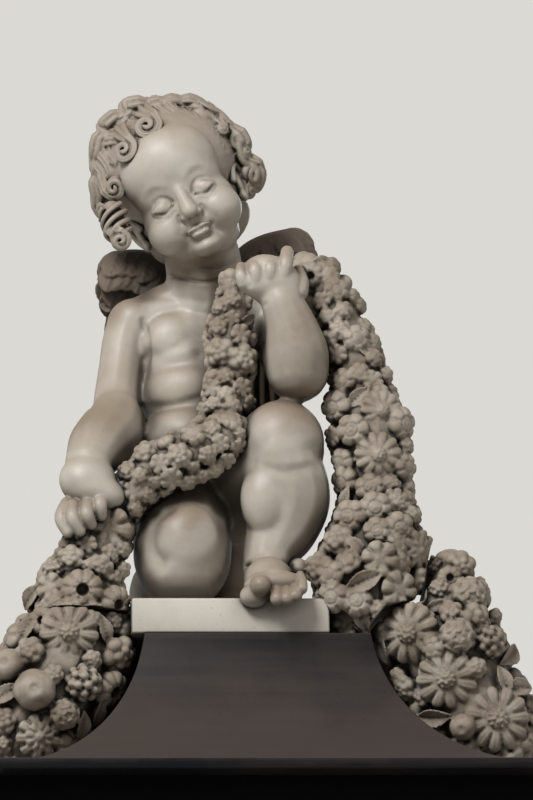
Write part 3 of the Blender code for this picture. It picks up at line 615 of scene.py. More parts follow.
def hair_point(round_head, height, lift=0.0):
    """A point on the hair, at degrees round the head and above its middle, and the way out there."""
    a, e = math.radians(round_head), math.radians(height)
    out = Vector((math.cos(a) * math.cos(e), math.sin(a) * math.cos(e), math.sin(e)))
    spot = HAIR_MIDDLE + Vector([o * (r + lift) for o, r in zip(out, HAIR_RADII)])
    return Vector(on_head(*spot)), HEAD_TILT @ out


def hair_seen(across, down, lift):
    """The point of the scalp that shows at a place of the frame, raised towards the viewer, and the
    way out there."""
    upright = HEAD_TILT.transposed()
    near = upright @ (seen(across, down, -30) - HEAD_MIDDLE)
    far = upright @ (seen(across, down, 30) - HEAD_MIDDLE)
    hits, misses = [], []
    for centre, radii in SCALP:
        start = Vector([(n - c) / r for n, c, r in zip(near, centre, radii)])
        step = Vector([(f - n) / r for f, n, r in zip(far, near, radii)])
        along = -start.dot(step) / step.dot(step)
        off = (start + step * along).length
        if off < 1:
            along -= math.sqrt((1 - off * off) / step.dot(step))
        spot = start + step * along
        out = Vector([s / r for s, r in zip(spot, radii)]).normalized()
        (hits if off < 1 else misses).append((along if off < 1 else off, near.lerp(far, along), out))
    found = min(hits or misses, key=lambda hit: hit[0])
    out = (HEAD_TILT @ found[2] + VIEWER * 0.5).normalized()
    return Vector(on_head(*found[1])) + VIEWER * lift, out


def comb(path, strands):
    """Strands side by side along a path of (point, way out, half width), as a comb draws them."""
    made = []
    for k in range(strands):
        side = 2 * k / (strands - 1) - 1
        line = []
        for n, (spot, out, half) in enumerate(path):
            ahead, back = path[min(n + 1, len(path) - 1)][0], path[max(n - 1, 0)][0]
            across = (ahead - back).cross(out).normalized()
            crown = out * half * 0.35 * (1 - side * side)
            line.append((*(spot + across * side * half + crown), max(0.14, half * 1.1 / (strands - 1))))
        made.append(tube(line, sides=2, steps=1))
    return made


def lock(bends, width=0.75, strands=4, curl=None):
    """A lock of hair through bends (point, way out), its start sunk in the hair. curl, given as
    (eye, way out, size, hand), winds its end into a snail that stands on the hair."""
    line = [(*spot, *out, width) for spot, out in bends]
    made = []
    if curl:
        eye, out, size, hand = curl
        toward = bends[-1][0] - eye
        toward = (toward - out * toward.dot(out)).normalized()
        aside = out.cross(toward) * hand
        line.append((*(eye + (aside * 0.62 + toward * 0.62) * size), *out, size * 0.26))
        made.append(ball(eye - out * size * 0.55, (size * 0.92, size * 0.92, size * 0.62), segments=20))
        made[0].rotation_euler = out.to_track_quat("Z", "Y").to_euler()
    path = []
    route = smooth_route(line, 7)
    for n, p in enumerate(route):
        sunk = max(0.0, 1 - n / 6)
        end = 0.0 if curl else (n / (len(route) - 1)) ** 2
        spot, out = Vector(p[:3]), Vector(p[3:6])
        half = p[6] * (1 - 0.5 * sunk - 0.75 * end)
        path.append((spot - out * (0.9 * sunk + 1.1 * end), out, half))
    bed = [(*(spot - out * half * 0.9), half * 1.15) for spot, out, half in path[::4]]
    if curl:
        for k in range(SNAIL_STEPS + 1):
            t = k / SNAIL_STEPS
            angle = math.radians(90) + math.tau * SNAIL_TURNS * t
            half = size * 0.21 * (1 - 0.62 * t)
            reach = size * (1 - 0.80 * t) - half * 1.25
            spot = eye + (toward * math.cos(angle) + aside * math.sin(angle)) * max(reach, 0.02)
            path.append((spot + out * size * (0.02 + 0.34 * t), out, half))
    return made + [tube(bed, sides=2, steps=2)] + comb(path, strands)


# Curls that frame the face: eye across and down in the frame, radius, hand, and the lock's bends
FRAMING_CURLS = (
    (147, 127, 15.0, -1, ((176, 100), (156, 103), (141, 110))),
    (125, 151, 14.0, -1, ((142, 104), (127, 112), (118, 127))),
    (115, 188, 12.5, 1, ((106, 124), (100, 147), (101, 170))),
    (120, 117, 9.5, -1, ((152, 100), (137, 102), (127, 105))),
    (106, 136, 10.0, -1, ((124, 108), (112, 117), (104, 125))),
    (99, 165, 10.5, 1, ((104, 124), (97, 140), (95, 152))),
    (103, 210, 10.5, 1, ((96, 168), (95, 184), (97, 196))),
    (236, 140, 12.5, -1, ((203, 106), (213, 114), (223, 127))),
    (255, 174, 12.5, -1, ((230, 120), (241, 136), (244, 157))),
    (214, 116, 7.5, 1, ((186, 101), (199, 105), (206, 109))),
    (222, 129, 6.5, -1, ((200, 104), (210, 110), (217, 119))),
    (250, 192, 8.5, 1, ((256, 160), (260, 174), (257, 184))),
    (246, 152, 7.5, 1, ((234, 124), (241, 134), (245, 143))),
)
# The outline of the hair and its inner edge, round from one ear to the other, in the frame
HAIR_OUTLINE = (
    (105, 226), (97, 198), (95, 170), (98, 147), (107, 128), (123, 111), (147, 101), (175, 99),
    (200, 104), (218, 115), (231, 130), (243, 149), (256, 172),
)
HAIR_EDGE = (
    (112, 236), (118, 208), (128, 184), (137, 167), (145, 148), (157, 131), (178, 120), (200, 113),
    (215, 120), (224, 136), (230, 155), (237, 174), (245, 190),
)
# Locks between them: how many, how far along the edge they drift, and where they change sides
UNDER_LOCKS = 26
UNDER_DRIFT = 10
PARTING = 20
UNDER_SWEEP = Vector((3.0, -1.5))
# Locks that sweep over the brow without a curl, by their bends
WAVES = (
    ((126, 108), (148, 104), (164, 110), (182, 116)), ((140, 102), (160, 101), (176, 109), (196, 112)),
    ((154, 98), (174, 98), (190, 103), (208, 108)), ((172, 97), (192, 98), (206, 102), (222, 114)),
    ((104, 128), (106, 146), (114, 160), (110, 172)), ((92, 150), (96, 164), (104, 178), (103, 192)),
)
# Windings of a curl's snail
SNAIL_TURNS = 1.5
SNAIL_STEPS = 36
# Rows of curls behind: degrees up, number in the row, first and last place in degrees
CURL_ROWS = ((60, 5, 8, 172), (34, 7, -6, 184), (8, 7, 4, 176), (-16, 6, 14, 166), (-40, 5, 22, 158))


def under_locks():
    """Combed locks that cover the scalp from behind the hair's outline to its edge on the face. Those
    on one side of the parting lean back along the edge, the others forward."""
    outline, edge = smooth_route(HAIR_OUTLINE, 6), smooth_route(HAIR_EDGE, 6)
    bends = ((0.0, 0), (0.33, 1.0), (0.66, -0.6), (1.0, 0))
    made = []
    for k in range(UNDER_LOCKS):
        n = round(k * (len(outline) - 1) / (UNDER_LOCKS - 1))
        end_place = n - UNDER_DRIFT if n < PARTING else n + UNDER_DRIFT
        start, end = Vector(outline[n]), Vector(edge[max(0, min(len(edge) - 1, end_place))])
        ways = [hair_seen(*(start.lerp(end, t) + UNDER_SWEEP * bend), 0.35) for t, bend in bends]
        spot, out = ways[0]
        behind = spot.lerp(HEAD_MIDDLE, 0.08) - VIEWER * 3.4
        made += lock([(behind, (out - VIEWER * 0.8).normalized()), *ways], 1.0, 4)
    return made


def hair(material):
    """Combed locks that wind into snail curls round the face and over the back of the head."""
    chance = random.Random(4)
    shapes = [head_ball(centre, radii) for centre, radii in (*SCALP[:1], *NAPE)] + under_locks()
    for across, down, radius, hand, bends in FRAMING_CURLS:
        eye, out = hair_seen(across, down, 1.4)
        out = (out + VIEWER * 0.6).normalized()
        ways = [hair_seen(*bend, 0.9) for bend in bends]
        shapes += lock(ways, 0.95, 3, (eye, out, radius * 1.1 * PIXEL, hand))
    for bends in WAVES:
        shapes += lock([hair_seen(*bend, 0.8) for bend in bends], 1.0, 4)
    for height, count, first, last in CURL_ROWS:
        for k in range(count):
            a = first + (last - first) * k / (count - 1) + chance.uniform(-5, 5)
            hand = chance.choice((-1, 1))
            ways = [
                hair_point(90 + (a - 90) * 0.55, min(86, height + 46), 0.5),
                hair_point(a + 9 * hand, height + 30, 0.8),
                hair_point(a - 7 * hand, height + 16, 0.8),
            ]
            curl = (*hair_point(a, height, 0.9), chance.uniform(1.9, 2.3), hand)
            shapes += lock(ways, 0.95, 3, curl)
    shapes += hanging_curl((112, 210), (121, 241), 1.7)
    skin = thin_out(fused(shapes, HAIR_VOXEL, 1), HAIR_FACES)
    return finish_piece(skin, "child_hair", "child_with_garland", material)


def hanging_curl(top, low, radius):
    """The barrel curl that hangs beside the face, wound round its length and closed by a snail."""
    top, low = seen(*top, -5.0), seen(*low, -6.2)
    length = low - top
    made = limb([(*top, radius * 0.75), (*top.lerp(low, 0.5), radius * 0.8), (*low, radius * 0.6)])
    turn = length.to_track_quat("Z", "Y")
    strands, steps = 4, 48
    for start in range(strands):
        line = []
        for k in range(steps + 1):
            t = k / steps
            angle = math.tau * (0.9 * t + start / strands)
            reach = radius * (1.0 - 0.5 * max(0.0, t - 0.7) / 0.3)
            spot = top + length * t + turn @ Vector((math.cos(angle), math.sin(angle), 0)) * reach
            line.append((*spot, 0.42))
        made.append(tube(line, sides=2, steps=1))
    hook = [(low + VIEWER * 0.4 + Vector(aside), VIEWER) for aside in ((-1.2, 0, 2.4), (-1.4, 0, 1.4))]
    return made + lock(hook, 0.5, 3, (low + VIEWER * 1.2, VIEWER, 1.5, -1))


# The wings

# Rows of long feathers by their share of the length and their number, then size and rows of the small
# ones on the shoulder
LONG_FEATHERS = ((1.0, 8), (0.76, 8), (0.52, 8), (0.32, 7))
SCALE_FEATHER = (8.6, 4.5, 4.2)
SCALE_ROWS = 5


def feather():
    """A feather one unit long that hangs down from its root: a blade with a raised quill."""
    def rule(p):
        blade = 0.5 * (1 - p[:, 2])
        barbs = 0.012 * np.cos(26 * (blade + 0.6 * np.abs(p[:, 0])))
        quill = 0.05 * np.exp(-((p[:, 0] / 0.16) ** 2)) - barbs
        width = 0.17 + 0.05 * np.sin(math.pi * blade)
        return np.column_stack((p[:, 0] * width, p[:, 1] * 0.06 - quill * (p[:, 1] < 0), -blade))
    return moulded(rule, 24, 40)


def wing(model, side, root, wrist, tip):
    """A folded wing: a round shoulder under small scale feathers, and rows of long ones below."""
    root, wrist, tip = Vector(root), Vector(wrist), Vector(tip)
    bow = (root + wrist) / 2 + Vector((0, 1.2, 2.4))
    shoulder = [(*root, 2.6), (*bow, 3.0), (*wrist, 3.0)]
    made = limb(shoulder)
    for layer, (reach, count) in enumerate(LONG_FEATHERS):
        for k in range(count):
            t = k / (count - 1)
            start = wrist.lerp(root, t * 0.95) + Vector((0, 0.9, 0.6 + 1.0 * math.sin(math.pi * t)))
            down = (tip - wrist).lerp((tip - wrist) * 0.66 + Vector((side * -1.2, 0, 0)), t) * reach
            turned = (-down).to_track_quat("Z", "Y")
            for face in (1, -1):
                shift = Vector((0, 0.45 * face * (1 + layer), 0))
                size = UNIT * Vector((down.length * 0.55 + 3.2, face * 12.0, down.length + 1.0))
                made.append(copy_of(model, Matrix.LocRotScale(place(start + shift), turned, size)))
    route = smooth_route(shoulder, 6)
    size = UNIT * Vector(SCALE_FEATHER)
    for row in range(SCALE_ROWS):
        angle = math.radians(80 - 38 * row)
        for x, y, z, reach in route[row % 2::2]:
            for face in (1, -1):
                out = Vector((0.25 * side * math.cos(angle), -face * math.cos(angle), math.sin(angle)))
                spot = Vector((x, y, z)) + out * (reach - 0.18)
                down = (Vector((side * 0.3, 0, -1)) + out * 0.10).normalized()
                turned = Matrix((out.cross(down), -out, -down)).transposed().to_quaternion()
                made.append(copy_of(model, Matrix.LocRotScale(place(spot), turned, size)))
    return made


def wings(material):
    """Both wings."""
    model = feather()
    shapes = wing(model, -1, (-7.6, 7.0, 46.0), (-15.9, 9.8, 51.4), (-14.4, 11.2, 28.0))
    shapes += wing(model, 1, (-2.6, 7.0, 46.0), (8.3, 10.4, 55.0), (6.8, 11.2, 29.6))
    bpy.data.objects.remove(model, do_unlink=True)
    skin = thin_out(fused(shapes, WING_VOXEL, 1), WING_FACES)
    return finish_piece(skin, "child_wings", "child_with_garland", material)


# Flowers and fruit, each modelled once at a radius of one and copied

def moulded(rule, segments=72, rings=36):
    """A ball of one unit's radius whose points are moved by a rule of their places."""
    bpy.ops.mesh.primitive_uv_sphere_add(segments=segments, ring_count=rings, radius=1)
    made = bpy.context.object
    count = len(made.data.vertices)
    points = np.empty(count * 3)
    made.data.vertices.foreach_get("co", points)
    made.data.vertices.foreach_set("co", rule(points.reshape(count, 3)).ravel())
    return made


def ramp(value, low, high):
    """0 below a value, 1 above another, and a soft step between them."""
    t = np.clip((value - low) / (high - low), 0, 1)
    return t * t * (3 - 2 * t)


def notch_place(points, count, spin):
    """How far each point lies from a petal's middle: 0 there and 1 at the notch beside it."""
    turns = count * (np.arctan2(points[:, 1], points[:, 0]) + spin) / math.tau
    return np.abs(2 * (turns - np.round(turns)))


def petals(count, radius, thick, notch, tip, crease, cup=0.0, lift=0.0, rib=0.0, spin=0.0):
    """A ring of petals in one plate. tip is high for round petals and near 1 for pointed ones, crease
    the depth between petals, rib that along each one's middle, and cup raises the rim."""
    def rule(p):
        beside = notch_place(p, count, spin)
        out = np.minimum(1, np.hypot(p[:, 0], p[:, 1]))
        edge = radius * (1 - notch * beside**tip * ramp(out, 0.5, 1.0))
        height = p[:, 2] * thick + cup * out**2 + lift + crease * (1 - beside**2) * ramp(out, 0.2, 0.7)
        height -= crease * np.exp(-(((1 - beside) / 0.20) ** 2)) * ramp(out, 0.25, 0.6) * (p[:, 2] > 0)
        height -= rib * np.exp(-((beside / 0.14) ** 2)) * ramp(out, 0.3, 0.6) * (p[:, 2] > 0)
        return np.column_stack((p[:, 0] * edge, p[:, 1] * edge, height))
    return moulded(rule, max(48, 8 * count), 20)


def button(count, dome, crease, eye, pit, spin=0.0):
    """A domed flower in one swelling: lobes with creases between them round a ringed eye."""
    def rule(p):
        beside = notch_place(p, count, spin)
        out = np.minimum(1, np.hypot(p[:, 0], p[:, 1]))
        edge = 1 - 0.11 * beside**3 * ramp(out, 0.4, 1.0)
        lobes = crease * np.exp(-(((1 - beside) / 0.20) ** 2)) * ramp(out, eye, eye + 0.2)
        ring_line = crease * np.exp(-(((out - eye) / 0.06) ** 2))
        hole = pit * (1 - ramp(out, 0.4 * eye, 0.85 * eye))
        top = dome * np.sqrt(1 - 0.94 * out**2) - lobes - ring_line - hole
        return np.column_stack((p[:, 0] * edge, p[:, 1] * edge, np.where(p[:, 2] >= 0, top, 0.7 * p[:, 2])))
    return moulded(rule, 72, 30)


def scales(layers, count, step, height):
    """A bud: layers of round scales, each over the tips of the one inside it."""
    def rule(p):
        polar = np.arccos(np.clip(p[:, 2], -1, 1))
        size = np.full(len(p), 1 - step * layers)
        for k in range(layers):
            beside = notch_place(p, count, math.pi * k / count)
            past = polar - 0.22 - 0.36 * k - 0.26 * beside**3
            size += step * ramp(past, -0.02, 0.04) * (1 - 0.55 * ramp(past, 0.1, 0.5))
            size -= 0.6 * step * np.exp(-(((1 - beside) / 0.12) ** 2)) * ramp(past, 0.0, 0.1)
        return p * size[:, None] * np.array((1, 1, height))
    return moulded(rule, 84, 56)


def unit_ball(centre, radii):
    """An ellipsoid of a flower's model, in the flower's own units."""
    bpy.ops.mesh.primitive_uv_sphere_add(segments=16, ring_count=10, radius=1, location=centre)
    made = bpy.context.object
    made.scale = radii
    return made


def around(count, radius, lift, radii, spin=0.0):
    """Balls in a ring, each turned outwards."""
    made = []
    for k in range(count):
        angle = math.tau * k / count + spin
        knob = unit_ball((radius * math.cos(angle), radius * math.sin(angle), lift), radii)
        knob.rotation_euler = (0, 0, angle)
        made.append(knob)
    return made


def daisy():
    """A large flower: two rings of broad petals with pointed tips, and a rough button in a collar."""
    bpy.ops.mesh.primitive_torus_add(
        major_radius=0.40, minor_radius=0.06, major_segments=36, minor_segments=10, location=(0, 0, 0.15)
    )
    collar = bpy.context.object
    return [
        collar, petals(11, 1.0, 0.22, 0.15, 1.4, 0.07, -0.06, 0.0, 0.03),
        petals(11, 0.98, 0.20, 0.15, 1.4, 0.05, -0.08, -0.11, 0.03, math.pi / 11),
        unit_ball((0, 0, 0.12), (0.32, 0.32, 0.24)), unit_ball((0, 0, -0.34), (0.80, 0.80, 0.44)),
        *around(10, 0.235, 0.25, (0.080, 0.068, 0.080)), *around(5, 0.115, 0.33, (0.075, 0.068, 0.070)),
    ]


def aster():
    """A flower of nine broad petals over a smaller ring, with a domed button."""
    return [
        petals(9, 1.0, 0.26, 0.17, 2.4, 0.10, 0.02, 0.0, 0.04),
        petals(9, 0.64, 0.22, 0.15, 2.4, 0.08, 0.05, 0.12, 0.03, math.pi / 9),
        unit_ball((0, 0, 0.22), (0.28, 0.28, 0.22)), *around(8, 0.20, 0.32, (0.07, 0.06, 0.07)),
        *around(3, 0.08, 0.42, (0.07, 0.07, 0.05)), unit_ball((0, 0, -0.34), (0.78, 0.78, 0.44)),
    ]


def rose():
    """A small full rose: a ring of round petals over another, and a closed heart."""
    return [
        unit_ball((0, 0, -0.12), (0.80, 0.80, 0.60)), *around(6, 0.62, 0.04, (0.34, 0.40, 0.36)),
        *around(5, 0.34, 0.34, (0.25, 0.26, 0.26), 0.5), unit_ball((0, 0, 0.42), (0.18, 0.18, 0.20)),
    ]


def puff():
    """A small round flower of six lobes round a ringed button."""
    return [
        button(6, 0.66, 0.17, 0.42, 0.26), *around(5, 0.16, 0.48, (0.12, 0.11, 0.11)),
        unit_ball((0, 0, 0.54), (0.09, 0.09, 0.09)),
    ]


def six():
    """A flower of six broad petals about a ringed eye."""
    return [
        petals(6, 1.0, 0.36, 0.15, 3.0, 0.14, 0.10, 0.0, 0.03), *around(5, 0.17, 0.30, (0.12, 0.10, 0.11)),
        unit_ball((0, 0, -0.25), (0.80, 0.80, 0.44)), unit_ball((0, 0, 0.30), (0.10, 0.10, 0.10)),
    ]


def ring():
    """A flower of many round lobes about a deep dark eye."""
    return [button(9, 0.58, 0.12, 0.42, 0.55), *around(9, 0.40, 0.42, (0.10, 0.08, 0.09))]


def bud():
    """A closed bud of overlapping scales."""
    return [scales(4, 5, 0.085, 1.08)]


def berries():
    """A cluster of small berries."""
    grains = [unit_ball((0, 0, 0), (0.70, 0.70, 0.66))]
    for count, polar in ((1, 0.0), (5, 0.62), (9, 1.12), (10, 1.62)):
        grains += around(count, 0.76 * math.sin(polar), 0.72 * math.cos(polar), (0.23, 0.23, 0.23), polar)
    return grains


def fruit():
    """A round fruit with a sunk and pointed eye."""
    def rule(p):
        out = np.hypot(p[:, 0], p[:, 1])
        ribs = 1 - 0.05 * notch_place(p, 5, 0.0) ** 3 * ramp(out, 0.1, 0.6)
        dent = 0.20 * np.exp(-((out / 0.22) ** 2)) * (p[:, 2] > 0)
        return np.column_stack((p[:, 0] * ribs, p[:, 1] * ribs, p[:, 2] * 0.92 - dent))
    return [moulded(rule, 48, 28), *around(5, 0.11, 0.74, (0.10, 0.05, 0.07))]


def leaf():
    """A long leaf with a grooved rib, side veins and a curled edge."""
    def rule(p):
        along, across = p[:, 2], p[:, 0]
        width = 0.52 * (1 - np.abs(along) ** 2.2) + 0.06
        saw = 1 + 0.07 * np.cos(11 * math.pi * along)
        veins = 0.045 * np.cos(9 * math.pi * (along - 0.55 * np.abs(across))) * (np.abs(across) > 0.12)
        rib = 0.12 * np.exp(-((across / 0.13) ** 2))
        height = p[:, 1] * -0.17 + 0.34 * across**2 - 0.26 * along**2 + (veins - rib) * (p[:, 1] < 0)
        return np.column_stack((along * 1.3, across * width * saw, height))
    return [moulded(rule, 48, 40), unit_ball((0, 0, -0.25), (0.7, 0.28, 0.22))]


FLOWERS = {
    "daisy": daisy, "aster": aster, "rose": rose, "puff": puff, "six": six, "ring": ring, "bud": bud,
    "berries": berries, "fruit": fruit, "leaf": leaf,
}


def flower_models():
    """One model of each kind."""
    return {kind: joined(make()) for kind, make in FLOWERS.items()}


def planted(models, kind, centre, facing, size, spin):
    """A copy of a flower in figure units, its face turned outwards."""
    turned = Vector(facing).to_track_quat("Z", "Y") @ Euler((0, 0, spin)).to_quaternion()
    return copy_of(models[kind], Matrix.LocRotScale(place(centre), turned, (size * UNIT,) * 3))


def spot_on(route, across, down, size):
    """Where a flower seen at a place of the frame sits on a stretch, and which way it faces."""
    spot = seen(across, down, route[len(route) // 2][1])
    for _ in range(3):
        near = min(route, key=lambda p: (p[0] - spot.x) ** 2 + (p[2] - spot.z) ** 2)
        sideways = Vector((spot.x - near[0], 0, spot.z - near[2]))
        inside = math.sqrt(1 - min(0.94, sideways.length / near[3]) ** 2)
        spot = seen(across, down, near[1] - near[3] * SEAT * inside + 0.25 * size)
    return spot, sideways * 0.7 + Vector((0, -near[3] * max(0.5, inside), -0.2 * near[3]))


def strand(models, points, features, fill, kinds, seed):
    """One stretch of garland: a core along points (x, y, z, radius), the flowers that show, given as
    (kind, across, down, radius) in the frame, and ever smaller ones that fill the room between."""
    chance = random.Random(seed)
    shapes = limb([(x, y, z, r * CORE_SHARE) for x, y, z, r in points])
    route = smooth_route(points, 12)
    widest = max(p[3] for p in points)
    taken = []
    for kind, across, down, radius in features:
        size = radius * PIXEL
        spot, facing = spot_on(route, across, down, size)
        shapes.append(planted(models, kind, spot, facing, size * SHOWN_GROWTH, chance.uniform(0, 6)))
        taken.append((*spot, size))
    reach = sum((Vector(b[:3]) - Vector(a[:3])).length * a[3] for a, b in zip(route, route[1:]))
    for part in FILL_TIERS:
        for _ in range(int(reach * FILL_TRIES / (part * fill) ** 2)):
            n = chance.randrange(1, len(route))
            here = route[n]
            if chance.random() > here[3] / widest:
                continue
            along = (Vector(here[:3]) - Vector(route[n - 1][:3])).normalized()
            side = along.cross(Vector((0, 1, 0))).normalized()
            angle = chance.uniform(0, math.tau)
            out = side * math.cos(angle) + side.cross(along) * math.sin(angle)
            size = fill * part * chance.uniform(0.92, 1.08) * (HIDDEN_GROWTH if out.y > 0.5 else 1.0)
            centre = Vector(here[:3]) + out * (here[3] * SEAT - 0.30 * size)
            others = np.array(taken)
            gaps = np.linalg.norm(others[:, :3] - centre, axis=1) - FILL_NEARNESS * (others[:, 3] + size)
            if gaps.min() < 0:
                continue
            taken.append((*centre, size))
            tilt = out + Vector([chance.uniform(-0.35, 0.35) for _ in range(3)])
            kind = chance.choice(kinds)
            shapes.append(planted(models, kind, centre, tilt, size * FILL_GROWTH, chance.uniform(0, 6)))
    return shapes


# How a strand is filled: shares of its radius for the core and for the flowers' seat, the sizes that
# are tried in turn, tries on a unit of surface, how near two flowers come, and how far models pass the
# sizes they are set at
CORE_SHARE = 0.80
SEAT = 0.90
FILL_TIERS = (1.0, 0.86, 0.72)
FILL_TRIES = 9
FILL_NEARNESS = 0.76
SHOWN_GROWTH, FILL_GROWTH, HIDDEN_GROWTH = 1.14, 1.16, 1.35
# Kinds of flowers that fill the slim stretches and the swags
SMALL = ("puff", "rose", "puff", "rose", "six")
MIXED = ("rose", "puff", "six", "ring", "rose", "puff", "leaf")

# Routes of the garland's stretches, of both swags and of what backs them, by points (x, y, z, radius)
CHEST = [
    (-2.2, -8.4, 45.6, 1.5), (-1.8, -7.8, 43.6, 2.0), (-2.0, -7.4, 40.6, 2.7), (-2.4, -7.4, 37.0, 3.5),
    (-2.2, -7.4, 33.6, 3.1), (-2.8, -7.8, 30.2, 3.3), (-3.2, -8.8, 27.0, 3.1),
]
LAP = [
    (-2.0, -10.0, 23.6, 3.0), (-4.8, -10.4, 22.4, 3.5), (-8.2, -10.6, 20.6, 3.5),
    (-11.8, -10.4, 18.8, 3.6), (-15.0, -9.4, 16.6, 3.4), (-17.2, -8.8, 13.8, 3.0),
]
HELD = [
    (-18.4, -8.6, 11.6, 3.0), (-20.9, -8.8, 7.4, 4.4), (-23.0, -8.8, 2.6, 6.0),
    (-23.6, -8.8, -2.0, 6.8),
]
FALLING = [
    (8.4, -8.8, 47.2, 2.0), (10.8, -8.2, 44.0, 2.9), (12.7, -7.8, 38.5, 3.7), (15.0, -7.8, 31.6, 4.0),
    (16.0, -7.8, 23.6, 5.3), (16.9, -8.0, 16.4, 4.8), (16.6, -8.2, 10.5, 6.6), (16.2, -8.4, 7.0, 7.2),
    (14.9, -8.6, 3.4, 7.6), (14.8, -8.6, -0.6, 6.6), (13.2, -8.4, -4.6, 3.0),
]
LEFT_BLOCK = [
    (-23.8, -8.4, -1.0, 7.0), (-24.8, -8.2, -5.4, 8.2), (-27.2, -8.0, -11.0, 8.8),
    (-31.0, -7.8, -16.6, 7.4), (-34.6, -7.6, -20.0, 4.6),
]
RIGHT_BLOCK = [
    (26.6, -7.6, 5.6, 3.2), (26.4, -7.8, 1.4, 5.4), (25.6, -8.2, -4.2, 8.2), (27.7, -8.2, -10.8, 8.0),
    (31.0, -8.0, -16.4, 7.4), (34.6, -7.8, -20.0, 4.6),
]
LEFT_BACKING = [
    (-19.0, -3.0, -5.0, 4.2), (-21.4, -2.0, -10.0, 6.6), (-26.0, -2.0, -15.0, 6.8),
    (-31.5, -2.4, -19.0, 5.0),
]
RIGHT_BACKING = [
    (20.0, -3.0, -5.5, 3.6), (22.0, -2.0, -10.0, 6.4), (26.4, -2.0, -15.0, 6.8),
    (31.5, -2.4, -19.0, 5.0),
]

# Joints between the upper garland and each swag: lines of (x, z) from the cap outwards
LEFT_JOINT = [(-16.5, -1.6), (-50.0, -1.6)]
RIGHT_JOINT = [(14.6, -5.6), (15.3, -3.4), (17.2, -1.2), (22.2, -0.2), (23.6, 7.0), (26.0, 14.0)]

# Flowers where they show in the frame: kind, across, down, radius
CHEST_FLOWERS = [
    ("puff", 230, 286, 8), ("rose", 232, 300, 10), ("rose", 221, 306, 9), ("six", 232, 319, 8),
    ("leaf", 247, 320, 9), ("rose", 218, 328, 10), ("six", 240, 334, 10), ("rose", 221, 352, 15),
    ("rose", 243, 360, 16), ("rose", 225, 378, 10), ("six", 213, 389, 10), ("rose", 227, 396, 10),
    ("six", 241, 388, 10), ("rose", 214, 405, 9), ("six", 204, 410, 8), ("rose", 232, 408, 10),
    ("six", 248, 404, 9),
]
LAP_FLOWERS = [
    ("puff", 193, 435, 12), ("rose", 211, 430, 10), ("six", 220, 443, 9), ("rose", 207, 455, 10),
    ("six", 225, 460, 10), ("rose", 214, 470, 10), ("rose", 179, 456, 13), ("six", 171, 478, 11),
    ("rose", 188, 482, 10), ("rose", 146, 452, 12), ("six", 160, 464, 10), ("rose", 127, 471, 10),
    ("rose", 141, 477, 10), ("six", 133, 491, 10), ("rose", 148, 494, 9), ("six", 120, 491, 9),
    ("rose", 134, 508, 9), ("rose", 202, 476, 9),
]
HELD_FLOWERS = [
    ("six", 109, 528, 20), ("rose", 68, 544, 10), ("six", 87, 545, 10), ("rose", 71, 559, 14),
    ("berries", 53, 570, 11), ("rose", 100, 567, 13), ("rose", 122, 551, 10), ("rose", 122, 571, 10),
    ("six", 52, 588, 14), ("ring", 82, 590, 19), ("ring", 114, 604, 17), ("leaf", 32, 597, 14),
    ("rose", 90, 566, 8), ("puff", 44, 580, 8),
]
FALLING_FLOWERS = [
    ("ring", 311, 275, 12), ("leaf", 321, 262, 10), ("puff", 333, 266, 9), ("puff", 336, 291, 12),
    ("six", 322, 301, 9), ("puff", 309, 303, 8), ("rose", 343, 311, 10), ("puff", 327, 317, 8),
    ("puff", 317, 325, 7), ("puff", 360, 306, 8), ("puff", 353, 297, 8), ("puff", 328, 341, 10),
    ("six", 338, 354, 10), ("puff", 356, 339, 13), ("puff", 373, 343, 9), ("rose", 374, 359, 10),
    ("leaf", 366, 350, 10), ("puff", 344, 381, 12), ("puff", 359, 373, 10), ("rose", 386, 375, 9),
    ("puff", 337, 407, 16), ("puff", 380, 395, 10), ("daisy", 381, 411, 20), ("puff", 400, 424, 16),
    ("puff", 353, 430, 15), ("six", 334, 436, 10), ("daisy", 378, 455, 22), ("puff", 343, 461, 12),
    ("puff", 346, 482, 15), ("rose", 406, 447, 10), ("puff", 404, 467, 13), ("leaf", 358, 397, 12),
    ("puff", 351, 517, 16), ("puff", 375, 508, 15), ("aster", 394, 504, 15), ("rose", 339, 541, 16),
    ("puff", 377, 531, 13), ("puff", 398, 528, 15), ("rose", 412, 517, 11), ("aster", 417, 550, 19),
    ("six", 379, 559, 17), ("rose", 320, 569, 17), ("puff", 331, 574, 13), ("leaf", 364, 581, 16),
    ("puff", 334, 597, 15), ("puff", 357, 601, 15), ("six", 397, 590, 18), ("rose", 420, 581, 15),
    ("fruit", 298, 568, 9), ("leaf", 361, 618, 13), ("rose", 380, 610, 11), ("leaf", 346, 500, 11),
    ("leaf", 357, 545, 10), ("leaf", 367, 629, 12),
]
LEFT_FLOWERS = [
    ("daisy", 69, 632, 27), ("ring", 44, 621, 14), ("leaf", 27, 629, 13), ("leaf", 105, 630, 12),
    ("ring", 128, 634, 13), ("rose", 118, 656, 20), ("ring", 110, 690, 18), ("berries", 83, 683, 18),
    ("fruit", 35, 690, 19), ("fruit", 10, 665, 15), ("rose", 30, 651, 14), ("bud", 64, 714, 17),
    ("leaf", 82, 727, 13), ("aster", 38, 736, 21), ("rose", 54, 674, 10), ("leaf", 7, 694, 14),
    ("rose", 4, 721, 14), ("leaf", 98, 714, 12), ("rose", 92, 660, 10), ("six", -14, 700, 14),
    ("daisy", -20, 735, 18), ("puff", 125, 619, 11), ("rose", 92, 620, 10),
]
